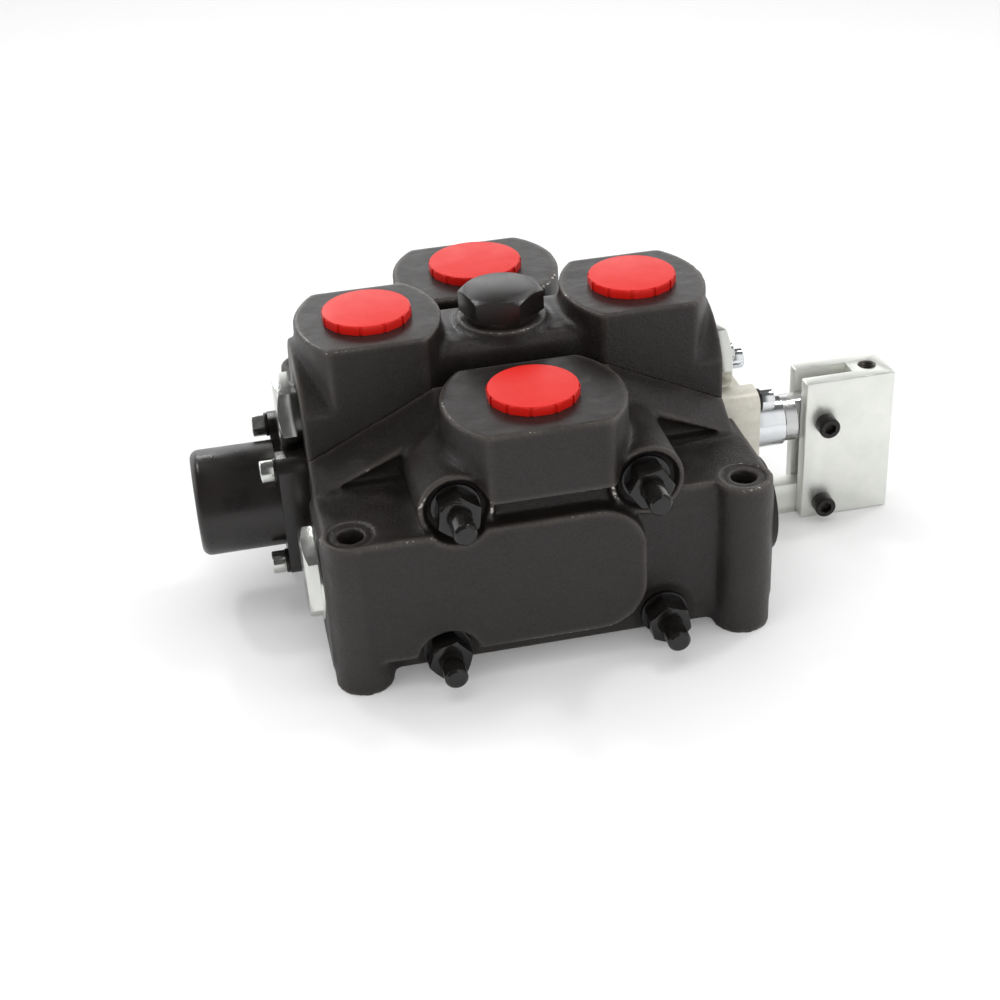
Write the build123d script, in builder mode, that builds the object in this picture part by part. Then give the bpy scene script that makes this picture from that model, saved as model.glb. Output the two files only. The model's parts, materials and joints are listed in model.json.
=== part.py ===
"""Sectional directional valve: three castings on four tie rods, one spool and its lever linkage.

The spool axis runs along X with the lever at +X. The castings stack along Y, with the inlet
at the front (-Y) and the outlet at the back. Z is up. The origin is the centre of the four
foot bolts on the base plane. All sizes are in millimetres.
"""
import os
from math import cos, radians, tan

from build123d import *

# Feet and mounting pattern
foot_spacing_x = 168.0
foot_spacing_y = 162.3
foot_height = 73.5
foot_r = 12.6
foot_hole_r = 5.5
foot_spot_r = 10.0
foot_spot_depth = 0.6

# Stack of castings along Y
work_thickness = 61.3
end_thickness = 62.5
recess_depth = 9.5
seat_depth = 0.8
body_bottom = 1.5
shoulder_z = 76.0
shoulder_in = 10.5
core_top = 100.0
work_mid_x = -2.0
work_half = 93.0
end_reach = 2.5
lower_edge_r = 7.0

# Ports
port_mid_x = -1.2
inlet_top = 115.7
outlet_top = 120.4
work_top = 131.7
work_port_offset = 59.3
port_r = 16.0
port_depth = 24.0
outlet_port_r = 18.0
gallery_r = 10.0
end_boss_half = 39.0
end_boss_flat = 26.0
work_boss_half = 32.0
work_boss_flat = 20.8
boss_corner_r = 3.0
boss_front_bottom = 84.0

# Front barrel of the end castings
barrel_right = 38.6
barrel_bottom = 14.5
barrel_corner_r = 21.0
passage_z = 46.0
passage_r = 13.0
passage_end = 34.0
passage_wall = 26.0
tank_blind_depth = 12.0
side_pad_t = 1.7
side_pad_bottom = 6.0
side_pad_width = 44.0
side_pad_top = 71.0
side_pad_r = 9.0

# Sloping wings
wing_root_z = 99.6
wing_root_x = 38.0
wing_slope = 0.483
wing_rise = 10.2
wing_depth = 17.5
wing_pocket_depth = 5.0
wing_pocket_lip = 1.8
wing_pocket_tip_in = 6.0
wing_pocket_inner_x = 52.5
wing_pocket_top = 89.6

# Tie rods
tie_r = 5.0
tie_clearance = 0.3
tie_lower_x = 48.3
tie_lower_z = 11.9
tie_upper_x = 40.3
tie_upper_z = 81.5
tie_stud = 24.8
tie_chamfer = 1.2
stud_boss_r = 16.0
stud_boss_proud = 4.0
nut_pocket_r = 13.6
nut_af = 17.0
nut_t = 10.0
nut_turns = [12.0, 40.0, 24.0, 4.0]
washer_r = 10.5
washer_t = 2.4

# Spool and its bore
spool_z = 51.2
spool_r = 11.1
spool_clearance = 0.05
spool_end_reach = 29.7
tongue_in = 13.2
tongue_t = 8.6
tongue_nose = 8.0
neck_r = 7.5
centre_neck = 16.0
work_neck_in = 38.0
work_neck_out = 65.0
ring_r = 15.0
work_ring_width = 13.0
tank_ring_width = 12.0
bridge_x = 29.0
bridge_z = 96.0
bridge_r = 4.5
tank_in = 17.0
tank_z = 37.0
tank_r = 6.5
centre_r = 8.0

# Seals
seal_w = 2.4
seal_t = 1.8
seal_gap = 0.2
seal_lip = 3.0
spool_seal_in = 6.0
spool_seal_r = 13.6

# Spool cap on the left
cap_flange_t = 13.0
flange_half_y = 28.0
flange_half_z = 29.0
flange_corner_r = 6.0
flange_screw_y = 21.7
flange_screw_z = 23.4
cap_r = 23.9
cap_reach = 50.2
cap_end_r = 4.0
cap_wall = 3.0
cap_bore_r = 17.0
notch_half_y = 15.5
notch_bottom = 71.0
notch_corner_r = 3.0
flange_screw_gap = 0.3

# Cap screws and lock washers
screw_r = 3.0
screw_head_r = 5.0
screw_head_h = 6.0
head_edge = 0.5
screw_socket_af = 5.0
screw_socket_depth = 3.2
screw_engagement = 11.0
lock_washer_r = 5.4
lock_washer_t = 1.6
tapped_gap = 0.1

# Centring spring
spring_wire_r = 1.5
spring_mean_r = 14.0
spring_turns = 4.5
spring_seat_r = 16.4
spring_seat_t = 3.5
end_screw_r = 4.0
end_screw_length = 18.0
end_screw_head_r = 7.0
end_screw_head_h = 3.6
end_screw_socket = 2.2

# Retainer and collar on the right
retainer_t = 19.0
collar_r = 12.5
collar_length = 19.4
collar_bore_gap = 0.35
collar_edge = 0.8
collar_seat_depth = 3.0
wiper_t = 4.0
wiper_r = 13.8
wiper_in = 7.0
lug_half_y = 9.2
lug_gap_half = 4.65
lug_back_t = 15.5
lug_bottom = 0.7
pin_head_r = 4.6
pin_head_h = 1.6
lug_r = 7.4

# Linkage
link_pin_out = 27.6
link_length = 29.9
pivot_z = 8.1
link_pin_r = 3.0
link_half = 8.0
link_t = 8.6
link_slot_rise = 0.55
pin_gap = 0.06

# Lever block
block_in = 10.2
block_out = 33.4
block_half_y = 11.15
block_bottom = 0.4
block_top = 73.1
block_slot_half = 4.65
block_slot_out = 14.5
block_edge = 0.5
lever_hole_out = 23.4
lever_hole_r = 4.25
lever_hole_depth = 32.0
pivot_head_r = 5.0
pivot_head_h = 6.6
pivot_tip = 9.6

# Load check under the top plug
ridge_half_y = 21.0
ridge_top = 122.0
ridge_r = 5.0
plug_pad_r = 20.0
plug_pad_top = 124.5
plug_washer_r = 16.6
plug_hex_af = 32.7
plug_hex_bottom = 126.6
plug_hex_top = 136.8
plug_turn = -16.0
plug_thread_r = 13.5
plug_thread_bottom = 108.0
plug_pocket_r = 8.4
plug_pocket_top = 116.0
check_bore_r = 10.0
check_seat_z = 84.0
check_seat_r = 6.0
poppet_t = 7.0
poppet_gap = 0.1
poppet_stem_r = 4.2
poppet_stem_top = 100.0
check_spring_mean_r = 6.1
check_spring_wire_r = 0.9
check_spring_turns = 6.0

# Port relief cartridges
relief_z = 89.8
relief_pad_r = 33.0
relief_collar_r = 14.0
relief_collar_t = 2.3
relief_hex_af = 32.3
relief_hex_t = 7.2
relief_turn_left = -5.5
relief_turn_right = 0.0
relief_gap = 0.1
seal_fit = 0.08
relief_body_r = 12.0
relief_body_length = 16.5
relief_nose_r = 5.0
relief_nose_length = 7.5
relief_nose_bore_r = 7.0
adjuster_r = 4.7
adjuster_length = 11.0
adjuster_proud = 5.0
adjuster_slot = 1.6
adjuster_turn = 35.0

# Inlet and outlet passage plugs
plug36_af = 36.0
plug36_turn = 20.0
side_washer_r = 20.8
side_washer_t = 1.2
side_hex_t = 5.4
side_body_length = 13.5
plug_wall = 3.0
side_round_t = 2.8
side_socket_af = 14.0

# Transit caps
small_cap_r = 19.4
large_cap_r = 21.7
cap_rim_h = 4.1
cap_rim_edge = 0.7
cap_lobes = 12
cap_lobe_step = 0.45
cap_lobe_rise = 0.15
cap_lobe_width = 8.4
cap_skirt_gap = 0.4
cap_skirt_h = 13.0
cap_skirt_wall = 1.6

# Stations worked out from the sizes above
seam_y = -work_thickness / 2
face_y = seam_y - end_thickness
recess_y = face_y + recess_depth
nut_seat_y = recess_y + seat_depth
port_y = seam_y - end_thickness / 2
foot_x = foot_spacing_x / 2
foot_y = foot_spacing_y / 2
work_left = work_mid_x - work_half
work_right = work_mid_x + work_half
work_faces = [(-1, work_left), (1, work_right)]
end_half = work_half + end_reach
side_face = end_half + side_pad_t
tie_end = -recess_y + tie_stud
tank_x = work_half - tank_in
spool_seal_x = work_half - spool_seal_in
wing_pocket_tip_x = work_half - wing_pocket_tip_in
bore_r = spool_r + spool_clearance
flange_face = work_left - cap_flange_t
cap_end = work_left - cap_reach
retainer_face = work_right + retainer_t
spool_left = work_left - spool_end_reach
link_pin_x = work_right + link_pin_out
pivot_x = link_pin_x + link_length
tongue_start = pivot_x - tongue_in
block_left = pivot_x - block_in
block_right = pivot_x + block_out
block_slot_end = pivot_x + block_slot_out
lever_hole_x = pivot_x + lever_hole_out
tie_points = [(-tie_lower_x, tie_lower_z), (tie_lower_x, tie_lower_z),
              (-tie_upper_x, tie_upper_z), (tie_upper_x, tie_upper_z)]
flange_points = [(y, spool_z + z) for y in (-flange_screw_y, flange_screw_y)
                 for z in (-flange_screw_z, flange_screw_z)]
seal_points = [(0.0, spool_z, centre_r), (-tank_x, tank_z, tank_r), (tank_x, tank_z, tank_r)]


def facing(y):
    """Plane at station y whose normal points to the front, so its height axis is Z."""
    return Plane.XZ.offset(-y)


def across(x):
    """Plane at station x whose normal points to the lever side, with Y and Z in it."""
    return Plane.YZ.offset(x)


def boss_outline(centre_x, centre_y, z, half_width, flat, half_depth):
    """Port boss outline: two flats across the stack joined by bowed sides."""
    with BuildSketch(Plane((centre_x, centre_y, z))) as outline:
        with BuildLine():
            Line((-flat, -half_depth), (flat, -half_depth))
            ThreePointArc((flat, -half_depth), (half_width, 0), (flat, half_depth))
            Line((flat, half_depth), (-flat, half_depth))
            ThreePointArc((-flat, half_depth), (-half_width, 0), (-flat, -half_depth))
        make_face()
        fillet(outline.vertices(), boss_corner_r)
    return outline.sketch


def flange(x, thickness):
    """Four-screw flange on the plane at station x, notched at the top to clear the hex plug."""
    with BuildPart() as plate:
        with BuildSketch(across(x)):
            with Locations((0, spool_z)):
                RectangleRounded(2 * flange_half_y, 2 * flange_half_z, flange_corner_r)
        extrude(amount=thickness)
        with BuildSketch(across(x)):
            with Locations((0, notch_bottom)):
                RectangleRounded(2 * notch_half_y, 2 * notch_half_y, notch_corner_r,
                                 align=(Align.CENTER, Align.MIN))
        extrude(amount=thickness, mode=Mode.SUBTRACT)
    return plate.part


def wing_outline(y, rise):
    """Front view of both wings at station y, falling from the port boss to the side faces."""
    peak = wing_root_z + rise
    left_fall = (-work_left - wing_root_x) * wing_slope
    right_fall = (work_right - wing_root_x) * wing_slope
    with BuildSketch(facing(y)) as outline:
        with BuildLine():
            Polyline((work_left, foot_height / 2), (work_left, peak - left_fall), (-wing_root_x, peak),
                     (wing_root_x, peak), (work_right, peak - right_fall),
                     (work_right, foot_height / 2), close=True)
        make_face()
    return outline.sketch


def coil(seat, mean_r, wire_r, height, turns):
    """Round-wire coil spring standing on the seat plane."""
    rise = height - 2 * wire_r
    with BuildPart() as spring:
        with BuildLine():
            path = Helix(pitch=rise / turns, height=rise, radius=mean_r,
                         center=seat.origin + seat.z_dir * wire_r, direction=seat.z_dir)
        with BuildSketch(Plane(origin=path @ 0, z_dir=path % 0)):
            Circle(wire_r)
        sweep()
    return spring.part


def end_casting(port_top, bore, tank_depth, wall):
    """Inlet or outlet casting, made at the front of the stack; the wall divides its cross passage."""
    with BuildPart() as casting:
        with BuildSketch(across(-end_half)) as profile:
            with BuildLine():
                Polyline((seam_y, body_bottom), (recess_y, body_bottom), (recess_y, foot_height),
                         (seam_y, foot_height), close=True)
            make_face()
            fillet(profile.vertices().group_by(Axis.Y)[0].sort_by(Axis.X)[0], lower_edge_r)
        extrude(amount=2 * end_half)

        with Locations((-foot_x, -foot_y), (foot_x, -foot_y)):
            Cylinder(foot_r, foot_height, align=(Align.CENTER, Align.CENTER, Align.MIN))

        with BuildSketch(facing(recess_y + 1)) as barrel:
            with BuildLine():
                Polyline((-foot_x, barrel_bottom), (barrel_right, barrel_bottom),
                         (barrel_right, foot_height), (-foot_x, foot_height), close=True)
            make_face()
            fillet(barrel.vertices().group_by(Axis.X)[-1], barrel_corner_r)
        extrude(amount=recess_depth + 1)

        add(wing_outline(seam_y, wing_rise))
        add(wing_outline(seam_y - wing_depth, 0))
        loft(ruled=True)

        pocket_floor = foot_height + wing_pocket_lip
        with BuildSketch(facing(seam_y - wing_depth + wing_pocket_depth)):
            for side in (-1, 1):
                with BuildLine():
                    Polyline((side * wing_pocket_tip_x, pocket_floor),
                             (side * wing_pocket_inner_x, pocket_floor),
                             (side * wing_pocket_inner_x, wing_pocket_top), close=True)
                make_face()
        extrude(amount=2 * wing_pocket_depth, mode=Mode.SUBTRACT)

        with BuildSketch(facing(seam_y)):
            with Locations((-tie_upper_x, tie_upper_z), (tie_upper_x, tie_upper_z)):
                Circle(stud_boss_r)
        extrude(amount=seam_y - recess_y + stud_boss_proud)

        add(boss_outline(port_mid_x, port_y, boss_front_bottom, end_boss_half, end_boss_flat,
                         end_thickness / 2))
        extrude(amount=port_top - boss_front_bottom)
        core_depth = (seam_y - recess_y) / 2
        with BuildSketch(Plane((port_mid_x, recess_y + core_depth, foot_height))):
            Rectangle(2 * end_boss_flat, 2 * core_depth)
        extrude(amount=boss_front_bottom - foot_height)

        with BuildSketch(across(-side_face)):
            with Locations((port_y, (side_pad_bottom + side_pad_top) / 2)):
                RectangleRounded(side_pad_width, side_pad_top - side_pad_bottom, side_pad_r)
        extrude(amount=2 * side_face)

        with BuildSketch(facing(nut_seat_y)):
            with Locations(*tie_points):
                Circle(nut_pocket_r)
        extrude(amount=end_thickness, mode=Mode.SUBTRACT)
        with BuildSketch(facing(seam_y)):
            with Locations(*tie_points):
                Circle(tie_r + tie_clearance)
        extrude(amount=end_thickness, mode=Mode.SUBTRACT)

        with Locations((-foot_x, -foot_y, foot_height), (foot_x, -foot_y, foot_height)):
            CounterBoreHole(foot_hole_r, foot_spot_r, foot_spot_depth, foot_height)

        with Locations((port_mid_x, port_y, port_top)):
            CounterBoreHole(gallery_r, bore, port_depth, port_top - passage_z)
        with BuildSketch(across(-side_face)):
            with Locations((port_y, passage_z)):
                Circle(passage_r)
        extrude(amount=side_face + passage_end, mode=Mode.SUBTRACT)
        with BuildSketch(across(side_face)):
            with Locations((port_y, passage_z)):
                Circle(passage_r)
        extrude(amount=-(side_face - passage_end - wall), mode=Mode.SUBTRACT)

        with BuildSketch(facing(seam_y)):
            with Locations((0, spool_z)):
                Circle(centre_r)
        extrude(amount=seam_y - port_y, mode=Mode.SUBTRACT)
        with BuildSketch(facing(seam_y)):
            with Locations((-tank_x, tank_z), (tank_x, tank_z)):
                Circle(tank_r)
        extrude(amount=tank_depth, mode=Mode.SUBTRACT)
        with BuildSketch(facing(seam_y)):
            for x, z, hole_r in seal_points:
                with Locations((x, z)):
                    Circle(hole_r + seal_lip + seal_w + 2 * seal_gap)
                    Circle(hole_r + seal_lip, mode=Mode.SUBTRACT)
        extrude(amount=seal_t, mode=Mode.SUBTRACT)
    return casting.part


def socket_screw(seat, head_r, head_h, shank_r, length, socket_af, socket_depth):
    """Socket-head screw whose head stands on the seat plane and whose shank goes below it."""
    with BuildPart() as screw:
        with BuildSketch(seat):
            Circle(head_r)
        extrude(amount=head_h)
        crown = screw.faces().sort_by(Axis(seat.origin, seat.z_dir))[-1]
        chamfer(crown.edges(), head_edge)
        with BuildSketch(seat):
            Circle(shank_r)
        extrude(amount=-length)
        with BuildSketch(seat.offset(head_h)):
            RegularPolygon(socket_af / 2, 6, major_radius=False)
        extrude(amount=-socket_depth, mode=Mode.SUBTRACT)
    return screw.part


def hexagon(seat, across_flats, height, turn, hole_r=0.0):
    """Hexagon standing on the seat plane, with its corners turned down on the outer face."""
    corner_r = across_flats / 2 / cos(radians(30))
    turned = corner_r - across_flats / 2
    with BuildPart() as block:
        with BuildSketch(seat):
            Circle(corner_r)
        extrude(amount=height)
        crown = block.faces().sort_by(Axis(seat.origin, seat.z_dir))[-1]
        chamfer(crown.edges(), turned, turned * tan(radians(30)), reference=crown)
        with BuildSketch(seat):
            RegularPolygon(across_flats / 2, 6, major_radius=False, rotation=turn)
            if hole_r > 0:
                Circle(hole_r, mode=Mode.SUBTRACT)
        extrude(amount=height, mode=Mode.INTERSECT)
    return block.part


def ring(seat, outer_r, inner_r, height):
    """Flat ring standing on the seat plane."""
    with BuildPart() as band:
        with BuildSketch(seat):
            Circle(outer_r)
            Circle(inner_r, mode=Mode.SUBTRACT)
        extrude(amount=height)
    return band.part


def transit_cap(centre, rim_r, bore):
    """Push-in transit cap: a lobed rim on the boss and a hollow skirt in the port."""
    skirt_r = bore - cap_skirt_gap
    with BuildPart() as cap:
        with BuildSketch(Plane(centre)):
            Circle(rim_r + cap_lobe_rise)
        extrude(amount=cap_rim_h)
        chamfer(cap.faces().sort_by(Axis.Z)[-1].edges(), cap_rim_edge)
        with BuildSketch(Plane(centre)):
            Circle(rim_r - cap_lobe_step)
            with PolarLocations(rim_r - cap_lobe_step, cap_lobes):
                Rectangle(2 * cap_lobe_rise, cap_lobe_width)
        extrude(amount=cap_rim_h, mode=Mode.INTERSECT)
        with BuildSketch(Plane(centre)):
            Circle(skirt_r)
        extrude(amount=-cap_skirt_h)
        with BuildSketch(Plane(centre).offset(-cap_skirt_h)):
            Circle(skirt_r - cap_skirt_wall)
        extrude(amount=cap_skirt_h, mode=Mode.SUBTRACT)
    return cap.part


def passage_plug(side, station, hex_head):
    """Plug of a cross passage in an end casting, with a hexagon or a flush round head."""
    face = Plane(origin=(side * side_face, station, passage_z), x_dir=(0, 1, 0), z_dir=(side, 0, 0))
    with BuildPart() as plug:
        with BuildSketch(face):
            Circle(side_washer_r)
        extrude(amount=side_washer_t if hex_head else side_round_t)
        if hex_head:
            add(hexagon(face.offset(side_washer_t), plug36_af, side_hex_t, side * plug36_turn))
        else:
            with BuildSketch(face.offset(side_round_t)):
                RegularPolygon(side_socket_af / 2, 6, major_radius=False)
            extrude(amount=-side_socket_af / 2, mode=Mode.SUBTRACT)
        with BuildSketch(face):
            Circle(passage_r - relief_gap)
            Circle(passage_r - plug_wall, mode=Mode.SUBTRACT)
        extrude(amount=-side_body_length)
    return plug.part


def relief_cartridge(side, station, turn):
    """Port relief cartridge in the side face at the station: collar, hexagon, body and nose."""
    face = Plane(origin=(station, 0, relief_z), x_dir=(0, 1, 0), z_dir=(side, 0, 0))
    with BuildPart() as cartridge:
        with BuildSketch(face):
            Circle(relief_collar_r)
        extrude(amount=relief_collar_t)
        add(hexagon(face.offset(relief_collar_t), relief_hex_af, relief_hex_t, turn))
        with BuildSketch(face):
            Circle(relief_body_r)
        extrude(amount=-relief_body_length)
        with BuildSketch(face.offset(-relief_body_length)):
            Circle(relief_nose_r)
        extrude(amount=-relief_nose_length)
    return cartridge.part


os.makedirs("parts", exist_ok=True)

# Castings
with BuildPart() as inlet_section:
    add(end_casting(inlet_top, port_r, tank_blind_depth, passage_wall))
inlet_section.part.label = "inlet_section"
export_step(inlet_section.part, "parts/inlet_section.step")

with BuildPart() as outlet_section:
    add(end_casting(outlet_top, outlet_port_r, seam_y - port_y, 0))
    mirror(about=Plane.XZ, mode=Mode.REPLACE)
outlet_section.part.label = "outlet_section"
export_step(outlet_section.part, "parts/outlet_section.step")

work_port_x = [port_mid_x - work_port_offset, port_mid_x + work_port_offset]
with BuildPart() as work_section:
    with BuildSketch(facing(-seam_y)):
        with Locations((work_mid_x, body_bottom)):
            Rectangle(2 * work_half, shoulder_z - body_bottom, align=(Align.CENTER, Align.MIN))
        with Locations((work_mid_x, shoulder_z)):
            Rectangle(2 * (work_half - shoulder_in), core_top - shoulder_z,
                      align=(Align.CENTER, Align.MIN))
    extrude(amount=work_thickness)
    for centre_x in work_port_x:
        add(boss_outline(centre_x, 0, shoulder_z, work_boss_half, work_boss_flat, work_thickness / 2))
    extrude(amount=work_top - shoulder_z)
    with BuildSketch(across(-work_port_offset)) as ridge:
        with Locations((0, ridge_top)):
            Rectangle(2 * ridge_half_y, ridge_top - shoulder_z, align=(Align.CENTER, Align.MAX))
        fillet(ridge.vertices().group_by(Axis.Y)[-1], ridge_r)
    extrude(amount=2 * work_port_offset)
    with BuildSketch(Plane((port_mid_x, 0, core_top))):
        Circle(plug_pad_r)
    extrude(amount=plug_pad_top - core_top)
    for side, face_x in work_faces:
        with BuildSketch(across(face_x)):
            with Locations((0, relief_z)):
                Circle(relief_pad_r)
                Rectangle(work_thickness, 2 * relief_pad_r, mode=Mode.INTERSECT)
                Rectangle(work_thickness, relief_z - spool_z, align=(Align.CENTER, Align.MAX))
        extrude(amount=-side * (work_half - work_port_offset))

    with BuildSketch(across(work_left)):
        with Locations((0, spool_z)):
            Circle(bore_r)
    extrude(amount=2 * work_half, mode=Mode.SUBTRACT)
    rings = [(x, work_ring_width) for x in work_port_x]
    rings += [(-tank_x, tank_ring_width), (tank_x, tank_ring_width)]
    for x, width in rings:
        with BuildSketch(across(x - width / 2)):
            with Locations((0, spool_z)):
                Circle(ring_r)
        extrude(amount=width, mode=Mode.SUBTRACT)
    for side in (-1, 1):
        with BuildSketch(across(side * spool_seal_x - seal_w / 2 - seal_gap)):
            with Locations((0, spool_z)):
                Circle(spool_seal_r)
        extrude(amount=seal_w + 2 * seal_gap, mode=Mode.SUBTRACT)
    with BuildSketch(facing(-seam_y)):
        for x, z, hole_r in seal_points:
            with Locations((x, z)):
                Circle(hole_r)
        with Locations(*tie_points):
            Circle(tie_r + tie_clearance)
    extrude(amount=work_thickness, mode=Mode.SUBTRACT)
    for centre_x in work_port_x:
        with Locations((centre_x, 0, work_top)):
            CounterBoreHole(gallery_r, port_r, port_depth, work_top - spool_z)
    with Locations((port_mid_x, 0, plug_pad_top)):
        CounterBoreHole(check_bore_r, plug_thread_r + relief_gap, plug_pad_top - plug_thread_bottom,
                        plug_pad_top - check_seat_z)
        Hole(check_seat_r, plug_pad_top - spool_z)
    with BuildSketch(Plane((0, 0, spool_z))):
        with Locations((-bridge_x, 0), (bridge_x, 0)):
            Circle(bridge_r)
    extrude(amount=bridge_z - spool_z, mode=Mode.SUBTRACT)
    with BuildSketch(across(-bridge_x)):
        with Locations((0, bridge_z)):
            Circle(bridge_r)
    extrude(amount=2 * bridge_x, mode=Mode.SUBTRACT)
    for side, face_x in work_faces:
        with BuildSketch(across(face_x)):
            with Locations((0, relief_z)):
                Circle(relief_body_r + relief_gap)
        extrude(amount=-side * (relief_body_length + relief_gap), mode=Mode.SUBTRACT)
        with BuildSketch(across(face_x)):
            with Locations((0, relief_z)):
                Circle(relief_nose_bore_r)
        extrude(amount=-side * (work_half - work_port_offset), mode=Mode.SUBTRACT)
        with BuildSketch(across(face_x)):
            with Locations(*flange_points):
                Circle(screw_r + tapped_gap)
        extrude(amount=-side * (screw_engagement + screw_r), mode=Mode.SUBTRACT)
work_section.part.label = "work_section"
export_step(work_section.part, "parts/work_section.step")

with BuildPart() as section_seals:
    for x, z, hole_r in seal_points:
        seat = Plane(origin=(x, seam_y - seal_t, z), z_dir=(0, 1, 0))
        inner_r = hole_r + seal_lip + seal_gap
        add(ring(seat, inner_r + seal_w, inner_r, seal_t))
    mirror(about=Plane.XZ)
section_seals.part.label = "section_seals"
export_step(section_seals.part, "parts/section_seals.step")

# Tie rods
with BuildPart() as tie_rods:
    with BuildSketch(facing(tie_end)):
        with Locations(*tie_points):
            Circle(tie_r)
    extrude(amount=2 * tie_end)
    chamfer(tie_rods.edges().group_by(Axis.Y)[0], tie_chamfer)
    chamfer(tie_rods.edges().group_by(Axis.Y)[-1], tie_chamfer)
tie_rods.part.label = "tie_rods"
export_step(tie_rods.part, "parts/tie_rods.step")

with BuildPart() as tie_washers:
    for x, z in tie_points:
        seat = Plane(origin=(x, nut_seat_y, z), z_dir=(0, -1, 0))
        add(ring(seat, washer_r, tie_r + tie_clearance, washer_t))
    mirror(about=Plane.XZ)
tie_washers.part.label = "tie_washers"
export_step(tie_washers.part, "parts/tie_washers.step")

with BuildPart() as tie_nuts:
    for index, (x, z) in enumerate(tie_points):
        seat = Plane(origin=(x, nut_seat_y - washer_t, z), x_dir=(1, 0, 0), z_dir=(0, -1, 0))
        add(hexagon(seat, nut_af, nut_t, nut_turns[index], tie_r + tapped_gap))
    mirror(about=Plane.XZ)
tie_nuts.part.label = "tie_nuts"
export_step(tie_nuts.part, "parts/tie_nuts.step")

# Spool, its seals, cap and centring spring
with BuildPart() as spool:
    with BuildSketch(across(spool_left)):
        with Locations((0, spool_z)):
            Circle(spool_r)
    extrude(amount=pivot_x + tongue_nose - spool_left)
    necks = [(-centre_neck / 2, centre_neck)]
    necks += [(side * (work_neck_in + work_neck_out) / 2 - (work_neck_out - work_neck_in) / 2,
               work_neck_out - work_neck_in) for side in (-1, 1)]
    for start, width in necks:
        with BuildSketch(across(start)):
            with Locations((0, spool_z)):
                Circle(spool_r + spool_clearance)
                Circle(neck_r, mode=Mode.SUBTRACT)
        extrude(amount=width, mode=Mode.SUBTRACT)
    with BuildSketch(across(tongue_start)):
        with Locations((0, spool_z)):
            Rectangle(4 * spool_r, 4 * spool_r)
            Rectangle(tongue_t, 4 * spool_r, mode=Mode.SUBTRACT)
    extrude(amount=pivot_x, mode=Mode.SUBTRACT)
    with BuildSketch(facing(spool_r)):
        with Locations((pivot_x, spool_z)):
            Circle(link_pin_r + pin_gap)
    extrude(amount=2 * spool_r, mode=Mode.SUBTRACT)
    with BuildSketch(across(spool_left)):
        with Locations((0, spool_z)):
            Circle(end_screw_r + tapped_gap)
    extrude(amount=end_screw_length, mode=Mode.SUBTRACT)
spool.part.label = "spool"
export_step(spool.part, "parts/spool.step")

with BuildPart() as spool_seals:
    for side in (-1, 1):
        seat = across(side * spool_seal_x - seal_w / 2)
        seat.origin += Vector(0, 0, spool_z)
        add(ring(seat, spool_seal_r - seal_gap, spool_r + seal_fit, seal_w))
spool_seals.part.label = "spool_seals"
export_step(spool_seals.part, "parts/spool_seals.step")

with BuildPart() as spool_cap:
    add(flange(work_left, -cap_flange_t))
    with BuildSketch(facing(0)) as dome:
        with Locations((flange_face, spool_z)):
            Rectangle(flange_face - cap_end, cap_r, align=(Align.MAX, Align.MIN))
        fillet(dome.vertices().group_by(Axis.X)[0].sort_by(Axis.Y)[-1], cap_end_r)
    revolve(axis=Axis((0, 0, spool_z), (1, 0, 0)))
    with BuildSketch(across(work_left)):
        with Locations((0, spool_z)):
            Circle(cap_bore_r)
    extrude(amount=cap_wall - cap_reach, mode=Mode.SUBTRACT)
    with BuildSketch(across(work_left)):
        with Locations(*flange_points):
            Circle(screw_r + flange_screw_gap)
    extrude(amount=-cap_flange_t, mode=Mode.SUBTRACT)
spool_cap.part.label = "spool_cap"
export_step(spool_cap.part, "parts/spool_cap.step")

with BuildPart() as cap_lock_washers:
    for y, z in flange_points:
        seat = Plane(origin=(flange_face, y, z), z_dir=(-1, 0, 0))
        add(ring(seat, lock_washer_r, screw_r + flange_screw_gap, lock_washer_t))
cap_lock_washers.part.label = "cap_lock_washers"
export_step(cap_lock_washers.part, "parts/cap_lock_washers.step")

with BuildPart() as cap_screws:
    for y, z in flange_points:
        seat = Plane(origin=(flange_face - lock_washer_t, y, z), z_dir=(-1, 0, 0))
        add(socket_screw(seat, screw_head_r, screw_head_h, screw_r,
                         lock_washer_t + cap_flange_t + screw_engagement,
                         screw_socket_af, screw_socket_depth))
cap_screws.part.label = "cap_screws"
export_step(cap_screws.part, "parts/cap_screws.step")

with BuildPart() as spring_seat_ring:
    add(ring(Plane(origin=(work_left, 0, spool_z), z_dir=(-1, 0, 0)), spring_seat_r,
             spool_r + collar_bore_gap, spring_seat_t))
spring_seat_ring.part.label = "spring_seat_ring"
export_step(spring_seat_ring.part, "parts/spring_seat_ring.step")

with BuildPart() as centring_spring:
    add(coil(Plane(origin=(work_left - spring_seat_t, 0, spool_z), z_dir=(-1, 0, 0)),
             spring_mean_r, spring_wire_r, spool_end_reach - spring_seat_t, spring_turns))
centring_spring.part.label = "centring_spring"
export_step(centring_spring.part, "parts/centring_spring.step")

with BuildPart() as spool_end_seat:
    add(ring(Plane(origin=(spool_left, 0, spool_z), z_dir=(-1, 0, 0)), spring_seat_r,
             end_screw_r + tapped_gap, spring_seat_t))
spool_end_seat.part.label = "spool_end_seat"
export_step(spool_end_seat.part, "parts/spool_end_seat.step")

with BuildPart() as spool_end_screw:
    add(socket_screw(Plane(origin=(spool_left - spring_seat_t, 0, spool_z), z_dir=(-1, 0, 0)),
                     end_screw_head_r, end_screw_head_h, end_screw_r,
                     spring_seat_t + end_screw_length - end_screw_r, screw_socket_af, end_screw_socket))
spool_end_screw.part.label = "spool_end_screw"
export_step(spool_end_screw.part, "parts/spool_end_screw.step")

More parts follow.
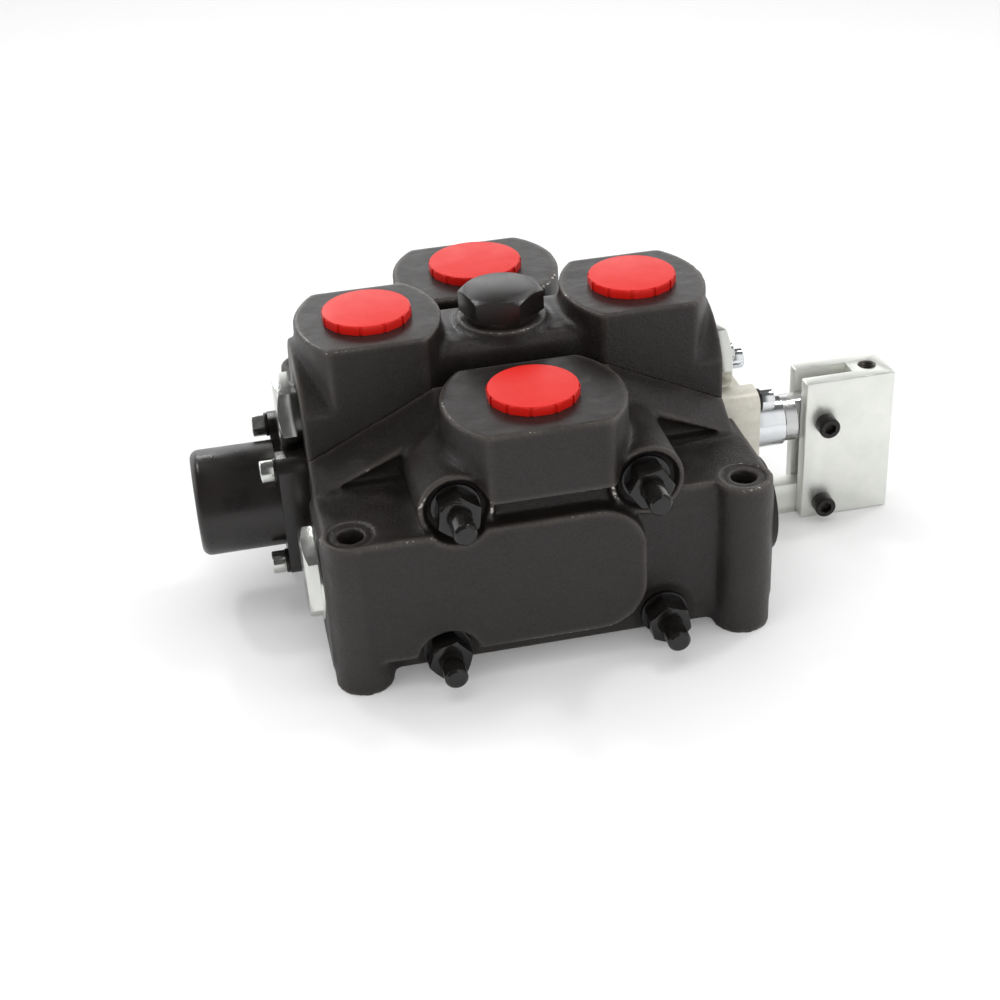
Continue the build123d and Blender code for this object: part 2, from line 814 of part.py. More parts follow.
# Retainer, its screws, collar and wiper on the lever side
with BuildPart() as retainer_plate:
    add(flange(work_right, retainer_t))
    with BuildSketch(across(work_right)):
        with Locations((0, lug_bottom)):
            Rectangle(2 * lug_half_y, spool_z - lug_bottom, align=(Align.CENTER, Align.MIN))
    extrude(amount=lug_back_t)
    with BuildSketch(facing(lug_half_y)):
        with Locations((link_pin_x, pivot_z)):
            Circle(lug_r)
            Rectangle(link_pin_out, 2 * lug_r, align=(Align.MAX, Align.CENTER))
    extrude(amount=2 * lug_half_y)
    with BuildSketch(facing(lug_gap_half)):
        with Locations((work_right + lug_back_t, lug_bottom - 1)):
            Rectangle(link_pin_x, spool_z - flange_half_z - lug_bottom, align=(Align.MIN, Align.MIN))
    extrude(amount=2 * lug_gap_half, mode=Mode.SUBTRACT)
    with BuildSketch(facing(lug_half_y)):
        with Locations((link_pin_x, pivot_z)):
            Circle(link_pin_r + tapped_gap)
    extrude(amount=2 * lug_half_y, mode=Mode.SUBTRACT)
    bores = [(0, retainer_t, spool_r + collar_bore_gap)]
    bores += [(wiper_in - seal_gap, wiper_t + 2 * seal_gap, wiper_r + seal_gap)]
    bores += [(retainer_t - collar_seat_depth, collar_seat_depth, collar_r + tapped_gap)]
    for start, depth, hole_r in bores:
        with BuildSketch(across(work_right + start)):
            with Locations((0, spool_z)):
                Circle(hole_r)
        extrude(amount=depth, mode=Mode.SUBTRACT)
    with BuildSketch(across(work_right)):
        with Locations(*flange_points):
            Circle(screw_r + flange_screw_gap)
    extrude(amount=retainer_t, mode=Mode.SUBTRACT)
retainer_plate.part.label = "retainer_plate"
export_step(retainer_plate.part, "parts/retainer_plate.step")

with BuildPart() as retainer_washers:
    for y, z in flange_points:
        seat = Plane(origin=(retainer_face, y, z), z_dir=(1, 0, 0))
        add(ring(seat, lock_washer_r, screw_r + flange_screw_gap, lock_washer_t))
retainer_washers.part.label = "retainer_washers"
export_step(retainer_washers.part, "parts/retainer_washers.step")

with BuildPart() as retainer_screws:
    for y, z in flange_points:
        seat = Plane(origin=(retainer_face + lock_washer_t, y, z), z_dir=(1, 0, 0))
        add(socket_screw(seat, screw_head_r, screw_head_h, screw_r,
                         lock_washer_t + retainer_t + screw_engagement,
                         screw_socket_af, screw_socket_depth))
retainer_screws.part.label = "retainer_screws"
export_step(retainer_screws.part, "parts/retainer_screws.step")

with BuildPart() as wiper_ring:
    add(ring(Plane(origin=(work_right + wiper_in, 0, spool_z), z_dir=(1, 0, 0)), wiper_r,
             spool_r + seal_fit, wiper_t))
wiper_ring.part.label = "wiper_ring"
export_step(wiper_ring.part, "parts/wiper_ring.step")

with BuildPart() as bonnet_collar:
    add(ring(Plane(origin=(retainer_face - collar_seat_depth, 0, spool_z), z_dir=(1, 0, 0)), collar_r,
             spool_r + collar_bore_gap, collar_length + collar_seat_depth))
    chamfer(bonnet_collar.faces().sort_by(Axis.X)[-1].outer_wire().edges(), collar_edge)
bonnet_collar.part.label = "bonnet_collar"
export_step(bonnet_collar.part, "parts/bonnet_collar.step")

# Lever linkage
with BuildPart() as link_pin:
    with BuildSketch(facing(lug_half_y)):
        with Locations((link_pin_x, pivot_z)):
            Circle(link_pin_r)
    extrude(amount=2 * lug_half_y)
    with BuildSketch(facing(-lug_half_y)):
        with Locations((link_pin_x, pivot_z)):
            Circle(pin_head_r)
    extrude(amount=pin_head_h)
    chamfer(link_pin.faces().sort_by(Axis.Y)[0].edges(), head_edge)
link_pin.part.label = "link_pin"
export_step(link_pin.part, "parts/link_pin.step")

with BuildPart() as fulcrum_link:
    with BuildSketch(facing(link_t / 2)):
        with Locations(((link_pin_x + pivot_x) / 2, pivot_z)):
            SlotCenterToCenter(link_length, 2 * link_half)
        with Locations((link_pin_x, pivot_z)):
            Circle(link_pin_r + pin_gap, mode=Mode.SUBTRACT)
        with Locations((pivot_x, pivot_z)):
            SlotCenterToCenter(2 * link_slot_rise, 2 * (link_pin_r + pin_gap), rotation=90,
                               mode=Mode.SUBTRACT)
    extrude(amount=link_t)
fulcrum_link.part.label = "fulcrum_link"
export_step(fulcrum_link.part, "parts/fulcrum_link.step")

with BuildPart() as lever_block:
    with BuildSketch(facing(block_half_y)):
        with Locations((block_left, block_bottom)):
            Rectangle(block_right - block_left, block_top - block_bottom,
                      align=(Align.MIN, Align.MIN))
    extrude(amount=2 * block_half_y)
    chamfer(lever_block.edges(), block_edge)
    with BuildSketch(facing(block_slot_half)):
        with Locations((block_left, block_bottom)):
            Rectangle(block_slot_end - block_left, block_top - block_bottom,
                      align=(Align.MIN, Align.MIN))
    extrude(amount=2 * block_slot_half, mode=Mode.SUBTRACT)
    with Locations((lever_hole_x, 0, block_top)):
        Hole(lever_hole_r, lever_hole_depth)
    with BuildSketch(facing(pivot_tip + tapped_gap)):
        with Locations((pivot_x, spool_z), (pivot_x, pivot_z)):
            Circle(link_pin_r + tapped_gap)
    extrude(amount=pivot_tip + tapped_gap + block_half_y, mode=Mode.SUBTRACT)
lever_block.part.label = "lever_block"
export_step(lever_block.part, "parts/lever_block.step")

with BuildPart() as tongue_screw:
    add(socket_screw(Plane(origin=(pivot_x, -block_half_y, spool_z), z_dir=(0, -1, 0)), pivot_head_r,
                     pivot_head_h, link_pin_r, block_half_y + pivot_tip, screw_socket_af,
                     screw_socket_depth))
tongue_screw.part.label = "tongue_screw"
export_step(tongue_screw.part, "parts/tongue_screw.step")

with BuildPart() as fulcrum_screw:
    add(socket_screw(Plane(origin=(pivot_x, -block_half_y, pivot_z), z_dir=(0, -1, 0)), pivot_head_r,
                     pivot_head_h, link_pin_r, block_half_y + pivot_tip, screw_socket_af,
                     screw_socket_depth))
fulcrum_screw.part.label = "fulcrum_screw"
export_step(fulcrum_screw.part, "parts/fulcrum_screw.step")

# Load check under the top plug
with BuildPart() as load_check_plug:
    with BuildSketch(Plane((port_mid_x, 0, plug_thread_bottom))):
        Circle(plug_thread_r)
    extrude(amount=plug_hex_bottom - plug_thread_bottom)
    with BuildSketch(Plane((port_mid_x, 0, plug_pad_top))):
        Circle(plug_washer_r)
    extrude(amount=plug_hex_bottom - plug_pad_top)
    add(hexagon(Plane((port_mid_x, 0, plug_hex_bottom)), plug_hex_af, plug_hex_top - plug_hex_bottom,
                plug_turn))
    with BuildSketch(Plane((port_mid_x, 0, plug_thread_bottom))):
        Circle(plug_pocket_r)
    extrude(amount=plug_pocket_top - plug_thread_bottom, mode=Mode.SUBTRACT)
load_check_plug.part.label = "load_check_plug"
export_step(load_check_plug.part, "parts/load_check_plug.step")

with BuildPart() as load_check_poppet:
    with BuildSketch(Plane((port_mid_x, 0, check_seat_z))):
        Circle(check_bore_r - poppet_gap)
    extrude(amount=poppet_t)
    with BuildSketch(Plane((port_mid_x, 0, check_seat_z))):
        Circle(poppet_stem_r)
    extrude(amount=poppet_stem_top - check_seat_z)
load_check_poppet.part.label = "load_check_poppet"
export_step(load_check_poppet.part, "parts/load_check_poppet.step")

with BuildPart() as load_check_spring:
    check_spring_bottom = check_seat_z + poppet_t
    add(coil(Plane((port_mid_x, 0, check_spring_bottom)), check_spring_mean_r, check_spring_wire_r,
             plug_pocket_top - check_spring_bottom, check_spring_turns))
load_check_spring.part.label = "load_check_spring"
export_step(load_check_spring.part, "parts/load_check_spring.step")

# Port relief cartridges
with BuildPart() as port_relief_left:
    add(relief_cartridge(-1, work_left, relief_turn_left))
port_relief_left.part.label = "port_relief_left"
export_step(port_relief_left.part, "parts/port_relief_left.step")

adjuster_end = work_right + relief_collar_t + relief_hex_t + adjuster_proud
with BuildPart() as port_relief_right:
    add(relief_cartridge(1, work_right, relief_turn_right))
    with BuildSketch(across(adjuster_end)):
        with Locations((0, relief_z)):
            Circle(adjuster_r + tapped_gap)
    extrude(amount=-adjuster_length, mode=Mode.SUBTRACT)
port_relief_right.part.label = "port_relief_right"
export_step(port_relief_right.part, "parts/port_relief_right.step")

with BuildPart() as relief_adjuster:
    with BuildSketch(across(adjuster_end)):
        with Locations((0, relief_z)):
            Circle(adjuster_r)
    extrude(amount=-adjuster_length)
    chamfer(relief_adjuster.faces().sort_by(Axis.X)[-1].edges(), head_edge)
    with BuildSketch(across(adjuster_end)):
        with Locations((0, relief_z)):
            Rectangle(4 * adjuster_r, adjuster_slot, rotation=adjuster_turn)
    extrude(amount=-2 * adjuster_slot, mode=Mode.SUBTRACT)
relief_adjuster.part.label = "relief_adjuster"
export_step(relief_adjuster.part, "parts/relief_adjuster.step")

# Passage plugs and transit caps
with BuildPart() as inlet_relief_plug:
    add(passage_plug(-1, port_y, True))
inlet_relief_plug.part.label = "inlet_relief_plug"
export_step(inlet_relief_plug.part, "parts/inlet_relief_plug.step")

with BuildPart() as inlet_side_plug:
    add(passage_plug(1, port_y, False))
inlet_side_plug.part.label = "inlet_side_plug"
export_step(inlet_side_plug.part, "parts/inlet_side_plug.step")

with BuildPart() as outlet_side_plugs:
    add(passage_plug(-1, -port_y, False))
    add(passage_plug(1, -port_y, False))
outlet_side_plugs.part.label = "outlet_side_plugs"
export_step(outlet_side_plugs.part, "parts/outlet_side_plugs.step")

with BuildPart() as inlet_port_cap:
    add(transit_cap((port_mid_x, port_y, inlet_top), small_cap_r, port_r))
inlet_port_cap.part.label = "inlet_port_cap"
export_step(inlet_port_cap.part, "parts/inlet_port_cap.step")

with BuildPart() as outlet_port_cap:
    add(transit_cap((port_mid_x, -port_y, outlet_top), large_cap_r, outlet_port_r))
outlet_port_cap.part.label = "outlet_port_cap"
export_step(outlet_port_cap.part, "parts/outlet_port_cap.step")

with BuildPart() as work_port_cap_left:
    add(transit_cap((work_port_x[0], 0, work_top), small_cap_r, port_r))
work_port_cap_left.part.label = "work_port_cap_left"
export_step(work_port_cap_left.part, "parts/work_port_cap_left.step")

with BuildPart() as work_port_cap_right:
    add(transit_cap((work_port_x[1], 0, work_top), small_cap_r, port_r))
work_port_cap_right.part.label = "work_port_cap_right"
export_step(work_port_cap_right.part, "parts/work_port_cap_right.step")
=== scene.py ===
"""Looks of a sectional directional valve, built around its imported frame.

Three castings stand on four foot columns and are held together by tie rods. A spool runs through
the middle casting, from a spring cap on the left to a lever block on the right. Every object is in
metres, in the frame's own axes: X runs along the spool, Z is up, and the inlet casting faces -Y.
"""
from __future__ import annotations

import json
import logging
import math
from dataclasses import dataclass, field
from enum import Enum
from typing import Any, Iterable, Sequence

import bmesh
import bpy
import numpy as np
from mathutils import Matrix, Vector

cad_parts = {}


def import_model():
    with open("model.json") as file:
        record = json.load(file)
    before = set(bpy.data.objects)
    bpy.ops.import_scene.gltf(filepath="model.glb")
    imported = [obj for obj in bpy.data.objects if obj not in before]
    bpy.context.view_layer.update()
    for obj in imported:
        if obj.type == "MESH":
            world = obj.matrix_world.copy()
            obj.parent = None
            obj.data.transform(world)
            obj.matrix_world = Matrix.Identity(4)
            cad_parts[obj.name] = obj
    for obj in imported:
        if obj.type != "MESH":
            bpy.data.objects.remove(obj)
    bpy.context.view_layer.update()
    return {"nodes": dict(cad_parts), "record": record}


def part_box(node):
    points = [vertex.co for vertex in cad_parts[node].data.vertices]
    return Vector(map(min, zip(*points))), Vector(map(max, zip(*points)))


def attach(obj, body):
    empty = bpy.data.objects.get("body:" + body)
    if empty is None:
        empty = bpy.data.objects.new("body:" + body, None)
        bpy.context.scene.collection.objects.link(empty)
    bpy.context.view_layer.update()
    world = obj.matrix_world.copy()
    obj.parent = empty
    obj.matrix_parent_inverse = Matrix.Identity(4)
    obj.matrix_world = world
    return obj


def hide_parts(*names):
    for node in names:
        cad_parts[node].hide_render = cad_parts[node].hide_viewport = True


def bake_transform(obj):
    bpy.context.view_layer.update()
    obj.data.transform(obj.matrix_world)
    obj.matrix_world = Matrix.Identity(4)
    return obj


LOG = logging.getLogger("valve")
MM = 0.001
WELD_MM = 0.002
SAME_FACE_DEGREES = 0.3
FLAT_CORNER_DEGREES = 28.0
SLIM_CORNER_DEGREES = 40.0


class Body(Enum):
    """Rigid bodies of the frame that pieces ride on."""

    VALVE = "valve_body"
    SPOOL = "spool_set"
    LINK = "link"
    LEVER = "lever"
    POPPET = "poppet"


class Slot(Enum):
    """Material slots of the record."""

    CASTING = "casting"
    BLACK_STEEL = "black_steel"
    ZINC = "zinc"
    CHROME = "chrome"
    STEEL = "steel"
    RED_PLASTIC = "red_plastic"


class Axis(Enum):
    """Axes of the frame, by their number in a vector."""

    X = 0
    Z = 2


def linear(hex_colour: str) -> tuple[float, float, float, float]:
    """Turn an sRGB hex colour into linear light.

    Args:
        hex_colour: Six hex digits after a hash, as in "#3a3735".

    Returns:
        Red, green, blue and alpha for a shader socket.
    """
    parts = [int(hex_colour[i:i + 2], 16) / 255 for i in (1, 3, 5)]
    red, green, blue = (c / 12.92 if c <= 0.04045 else ((c + 0.055) / 1.055) ** 2.4 for c in parts)
    return red, green, blue, 1.0


def per_mm(size_mm: float) -> float:
    """Texture scale whose features are about this many millimetres across."""
    return 1.0 / (size_mm * MM)


def add_node(tree: bpy.types.NodeTree, kind: str, inputs: dict[Any, Any] | None = None,
             **settings: Any) -> bpy.types.Node:
    """Add one node with its settings, socket values and incoming links.

    Args:
        tree: Node tree that takes the node.
        kind: Blender's type name of the node.
        inputs: Socket name or number to a plain value, or to the socket that feeds it.
        settings: Attributes of the node itself.

    Returns:
        The new node.
    """
    made = tree.nodes.new(kind)
    for key, value in settings.items():
        setattr(made, key, value)
    for key, value in (inputs or {}).items():
        if isinstance(value, bpy.types.NodeSocket):
            tree.links.new(value, made.inputs[key])
        else:
            made.inputs[key].default_value = value
    return made


def set_ramp(ramp: bpy.types.Node, stops: Sequence[tuple[float, float]]) -> None:
    """Give a colour ramp node its two grey stops.

    Args:
        ramp: The ShaderNodeValToRGB node.
        stops: Position and grey level of each stop, in order.
    """
    for element, (place, level) in zip(ramp.color_ramp.elements, stops):
        element.position = place
        element.color = (level, level, level, 1.0)


def new_material(name: str) -> tuple[bpy.types.Material, bpy.types.NodeTree, bpy.types.Node]:
    """Make a node material that holds only its shader.

    Args:
        name: Name of the real material and its surface.

    Returns:
        The material, its tree, and its Principled shader already linked to the output.
    """
    material = bpy.data.materials.new(name)
    material.use_nodes = True
    tree = material.node_tree
    tree.nodes.clear()
    shader = add_node(tree, "ShaderNodeBsdfPrincipled")
    add_node(tree, "ShaderNodeOutputMaterial", {"Surface": shader.outputs["BSDF"]})
    return material, tree, shader


@dataclass(frozen=True)
class PaintedCastIron:
    """Sand-cast grey iron under one coat of satin charcoal enamel.

    The sand gives a soft grain that the paint follows, drawn coarser than real sand so that it
    shows. Machined faces under the paint are smoother. Paint is thin on outer edges, where bright
    iron shows in small chips; the edges are drawn in a paler grey that is partly thinned paint and
    partly a painted highlight. A span is a range of a pattern's value, and levels are the values
    where something starts and is whole.
    """

    name: str = "charcoal_enamel_on_sand_cast_iron"
    paint: str = "#1a1716"
    thin_paint: str = "#2d2826"
    # Paler edge grey: partly thinned paint, partly a painted highlight.
    worn_and_highlit_edge_paint: str = "#57514d"
    bare_iron: str = "#cfccc6"
    grain_mm: float = 1.1
    grain_height_mm: float = 0.35
    grain_strength: float = 0.8
    machined_grain_strength: float = 0.08
    sand_span: tuple[float, float] = (0.40, 0.66)
    ripple_mm: float = 9.0
    ripple_height_mm: float = 1.2
    ripple_strength: float = 0.22
    chip_mm: float = 1.5
    chip_levels: tuple[float, float] = (0.585, 0.625)
    worn_and_highlit_share: float = 1.1
    speck_mm: float = 7.0
    speck_levels: tuple[float, float] = (0.755, 0.77)
    speck_bareness: float = 0.75
    patch_mm: float = 26.0
    patch_span: tuple[float, float] = (0.38, 0.62)
    patch_wear: tuple[float, float] = (0.62, 1.12)
    machined_above_m: float = 0.108
    facing_up: float = 0.96
    roughness: float = 0.41
    smoother: float = 0.06
    rougher: float = 0.08
    machined_smoother: float = 0.09
    gloss_span: tuple[float, float] = (0.3, 0.7)
    ior: float = 1.46

    def edge_wear_and_highlight(self, tree: bpy.types.NodeTree,
             place: bpy.types.NodeSocket) -> tuple[bpy.types.NodeSocket, bpy.types.NodeSocket]:
        """Add the nodes for pale edges, partly a painted highlight, and for chips and stray specks.

        Args:
            tree: The material's tree.
            place: Position on the piece.

        Returns:
            How pale the edges are, partly as a painted highlight, and how bare the iron is.
        """
        chips = add_node(tree, "ShaderNodeTexNoise",
                         {"Vector": place, "Scale": per_mm(self.chip_mm), "Detail": 5.0,
                          "Roughness": 0.7})
        patches = add_node(tree, "ShaderNodeTexNoise",
                           {"Vector": place, "Scale": per_mm(self.patch_mm), "Detail": 2.0})
        patch_wear = add_node(tree, "ShaderNodeMapRange",
                              {"Value": patches.outputs["Fac"],
                               "From Min": self.patch_span[0], "From Max": self.patch_span[1],
                               "To Min": self.patch_wear[0], "To Max": self.patch_wear[1]})
        edge = add_node(tree, "ShaderNodeAttribute", attribute_name="edge")
        chipped = add_node(tree, "ShaderNodeMath", {0: edge.outputs["Fac"], 1: chips.outputs["Fac"]},
                           operation="MULTIPLY")
        # The same edge mask picks the chips and the paler edge paint, which is partly a painted highlight.
        wear_and_highlight = add_node(tree, "ShaderNodeMath", {0: chipped.outputs[0], 1: patch_wear.outputs[0]},
                        operation="MULTIPLY")
        chip_mask = add_node(tree, "ShaderNodeValToRGB", {"Fac": wear_and_highlight.outputs[0]})
        set_ramp(chip_mask, [(self.chip_levels[0], 0.0), (self.chip_levels[1], 1.0)])
        specks = add_node(tree, "ShaderNodeTexNoise",
                          {"Vector": place, "Scale": per_mm(self.speck_mm), "Detail": 6.0,
                           "Roughness": 0.75})
        speck_mask = add_node(tree, "ShaderNodeValToRGB", {"Fac": specks.outputs["Fac"]})
        set_ramp(speck_mask, [(self.speck_levels[0], 0.0), (self.speck_levels[1], self.speck_bareness)])
        bare = add_node(tree, "ShaderNodeMath",
                        {0: chip_mask.outputs["Color"], 1: speck_mask.outputs["Color"]},
                        operation="MAXIMUM")
        return wear_and_highlight.outputs[0], bare.outputs[0]

    def machined(self, tree: bpy.types.NodeTree, place: bpy.types.NodeSocket) -> bpy.types.NodeSocket:
        """Add the nodes that find the machined tops of the port bosses.

        Args:
            tree: The material's tree.
            place: Position on the piece.

        Returns:
            One on a machined face, zero elsewhere.
        """
        geometry = add_node(tree, "ShaderNodeNewGeometry")
        normal = add_node(tree, "ShaderNodeSeparateXYZ", {0: geometry.outputs["Normal"]})
        position = add_node(tree, "ShaderNodeSeparateXYZ", {0: place})
        level = add_node(tree, "ShaderNodeMath", {0: normal.outputs["Z"], 1: self.facing_up},
                         operation="GREATER_THAN")
        high = add_node(tree, "ShaderNodeMath", {0: position.outputs["Z"], 1: self.machined_above_m},
                        operation="GREATER_THAN")
        return add_node(tree, "ShaderNodeMath", {0: level.outputs[0], 1: high.outputs[0]},
                        operation="MULTIPLY").outputs[0]

    def colour(self, tree: bpy.types.NodeTree, grain: bpy.types.NodeSocket, ripple: bpy.types.NodeSocket,
               wear_and_highlight: bpy.types.NodeSocket, bare: bpy.types.NodeSocket) -> bpy.types.NodeSocket:
        """Add the nodes for paint, thin paint, pale edges that are partly a painted highlight, and bare
        iron.

        Args:
            tree: The material's tree.
            grain: Value of the sand grain.
            ripple: Value of the slow ripple.
            wear_and_highlight: How pale the edges are, partly as a painted highlight.
            bare: How bare the iron is.

        Returns:
            The surface's colour.
        """
        sand = add_node(tree, "ShaderNodeMapRange",
                        {"Value": grain, "From Min": self.sand_span[0], "From Max": self.sand_span[1]})
        blotch = add_node(tree, "ShaderNodeMath", {0: sand.outputs[0], 1: ripple}, operation="MULTIPLY")
        tint = add_node(tree, "ShaderNodeMix",
                        {"Factor": blotch.outputs[0], "A": linear(self.paint),
                         "B": linear(self.thin_paint)}, data_type="RGBA")
        # Edges are mixed toward the paler grey, partly as thinned paint and partly as a painted highlight.
        worn_and_highlit_edge = add_node(tree, "ShaderNodeMath", {0: wear_and_highlight, 1: self.worn_and_highlit_share}, operation="MULTIPLY")
        edged = add_node(tree, "ShaderNodeMix",
                         {"Factor": worn_and_highlit_edge.outputs[0], "A": tint.outputs["Result"],
                          "B": linear(self.worn_and_highlit_edge_paint)}, data_type="RGBA")
        return add_node(tree, "ShaderNodeMix",
                        {"Factor": bare, "A": edged.outputs["Result"], "B": linear(self.bare_iron)},
                        data_type="RGBA").outputs["Result"]

    def material(self) -> bpy.types.Material:
        """Build the node material.

        Returns:
            The material of the three castings.
        """
        material, tree, shader = new_material(self.name)
        place = add_node(tree, "ShaderNodeTexCoord").outputs["Object"]
        grain = add_node(tree, "ShaderNodeTexNoise",
                         {"Vector": place, "Scale": per_mm(self.grain_mm), "Detail": 4.0,
                          "Roughness": 0.6}).outputs["Fac"]
        ripple = add_node(tree, "ShaderNodeTexNoise",
                          {"Vector": place, "Scale": per_mm(self.ripple_mm), "Detail": 3.0}).outputs["Fac"]
        wear_and_highlight, bare = self.edge_wear_and_highlight(tree, place)
        machined = self.machined(tree, place)
        grain_depth = add_node(tree, "ShaderNodeMapRange",
                               {"Value": machined, "To Min": self.grain_strength,
                                "To Max": self.machined_grain_strength})
        grain_bump = add_node(tree, "ShaderNodeBump",
                              {"Height": grain, "Strength": grain_depth.outputs[0],
                               "Distance": self.grain_height_mm * MM})
        bump = add_node(tree, "ShaderNodeBump",
                        {"Height": ripple, "Strength": self.ripple_strength,
                         "Distance": self.ripple_height_mm * MM, "Normal": grain_bump.outputs["Normal"]})
        gloss = add_node(tree, "ShaderNodeMapRange",
                         {"Value": ripple, "From Min": self.gloss_span[0], "From Max": self.gloss_span[1],
                          "To Min": self.roughness - self.smoother,
                          "To Max": self.roughness + self.rougher})
        satin = add_node(tree, "ShaderNodeMath",
                         {0: machined, 1: -self.machined_smoother, 2: gloss.outputs[0]},
                         operation="MULTIPLY_ADD")
        tree.links.new(self.colour(tree, grain, ripple, wear_and_highlight, bare), shader.inputs["Base Color"])
        tree.links.new(satin.outputs[0], shader.inputs["Roughness"])
        tree.links.new(bare, shader.inputs["Metallic"])
        tree.links.new(bump.outputs["Normal"], shader.inputs["Normal"])
        shader.inputs["IOR"].default_value = self.ior
        return material


@dataclass(frozen=True)
class MetalFinish:
    """Metal, bare or under a thin coat, whose surface varies in tone and gloss.

    Its marks are drawn coarser than the tool's real ones, so that they show.
    """

    name: str
    light: str
    dark: str
    metallic: float
    roughness: float
    mottle_mm: float
    mark_mm: float
    mark_strength: float
    stretch: tuple[float, float, float] = (1.0, 1.0, 1.0)
    mark_height_mm: float = 0.2
    tone_span: tuple[float, float] = (0.32, 0.68)
    gloss_span: tuple[float, float] = (0.3, 0.7)
    gloss_shares: tuple[float, float] = (0.8, 1.25)

    def material(self) -> bpy.types.Material:
        """Build the node material.

        Returns:
            The material.
        """
        material, tree, shader = new_material(self.name)
        place = add_node(tree, "ShaderNodeTexCoord").outputs["Object"]
        mottle = add_node(tree, "ShaderNodeTexNoise",
                          {"Vector": place, "Scale": per_mm(self.mottle_mm), "Detail": 5.0,
                           "Roughness": 0.6}).outputs["Fac"]
        spread = add_node(tree, "ShaderNodeMapRange",
                          {"Value": mottle, "From Min": self.tone_span[0], "From Max": self.tone_span[1]})
        tint = add_node(tree, "ShaderNodeMix",
                        {"Factor": spread.outputs[0], "A": linear(self.dark), "B": linear(self.light)},
                        data_type="RGBA")
        along = add_node(tree, "ShaderNodeMapping", {"Vector": place, "Scale": self.stretch})
        marks = add_node(tree, "ShaderNodeTexNoise",
                         {"Vector": along.outputs[0], "Scale": per_mm(self.mark_mm), "Detail": 4.0})
        bump = add_node(tree, "ShaderNodeBump",
                        {"Height": marks.outputs["Fac"], "Strength": self.mark_strength,
                         "Distance": self.mark_height_mm * MM})
        gloss = add_node(tree, "ShaderNodeMapRange",
                         {"Value": mottle, "From Min": self.gloss_span[0], "From Max": self.gloss_span[1],
                          "To Min": self.roughness * self.gloss_shares[0],
                          "To Max": self.roughness * self.gloss_shares[1]})
        tree.links.new(tint.outputs["Result"], shader.inputs["Base Color"])
        tree.links.new(gloss.outputs[0], shader.inputs["Roughness"])
        tree.links.new(bump.outputs["Normal"], shader.inputs["Normal"])
        shader.inputs["Metallic"].default_value = self.metallic
        return material


@dataclass(frozen=True)
class MouldedPolymer:
    """Injection-moulded polymer with a soft sheen and a faint mould texture."""

    name: str
    colour: str
    shade: str
    roughness: float
    scatter_mm: float
    grain_mm: float
    grain_strength: float
    grain_height_mm: float = 0.15
    cloud_mm: float = 12.0
    smoother: float = 0.05
    rougher: float = 0.07
    gloss_span: tuple[float, float] = (0.3, 0.7)
    scatter_weight: float = 0.12
    scatter_reach: tuple[float, float, float] = (1.0, 0.25, 0.15)
    ior: float = 1.51

    def material(self) -> bpy.types.Material:
        """Build the node material.

        Returns:
            The material.
        """
        material, tree, shader = new_material(self.name)
        place = add_node(tree, "ShaderNodeTexCoord").outputs["Object"]
        cloud = add_node(tree, "ShaderNodeTexNoise",
                         {"Vector": place, "Scale": per_mm(self.cloud_mm), "Detail": 3.0}).outputs["Fac"]
        grain = add_node(tree, "ShaderNodeTexNoise",
                         {"Vector": place, "Scale": per_mm(self.grain_mm), "Detail": 3.0})
        tint = add_node(tree, "ShaderNodeMix",
                        {"Factor": cloud, "A": linear(self.colour), "B": linear(self.shade)},
                        data_type="RGBA")
        gloss = add_node(tree, "ShaderNodeMapRange",
                         {"Value": cloud, "From Min": self.gloss_span[0], "From Max": self.gloss_span[1],
                          "To Min": self.roughness - self.smoother,
                          "To Max": self.roughness + self.rougher})
        bump = add_node(tree, "ShaderNodeBump",
                        {"Height": grain.outputs["Fac"], "Strength": self.grain_strength,
                         "Distance": self.grain_height_mm * MM})
        tree.links.new(tint.outputs["Result"], shader.inputs["Base Color"])
        tree.links.new(gloss.outputs[0], shader.inputs["Roughness"])
        tree.links.new(bump.outputs["Normal"], shader.inputs["Normal"])
        shader.inputs["IOR"].default_value = self.ior
        if self.scatter_mm > 0:
            shader.inputs["Subsurface Weight"].default_value = self.scatter_weight
            shader.inputs["Subsurface Radius"].default_value = self.scatter_reach
            shader.inputs["Subsurface Scale"].default_value = self.scatter_mm * MM
        return material


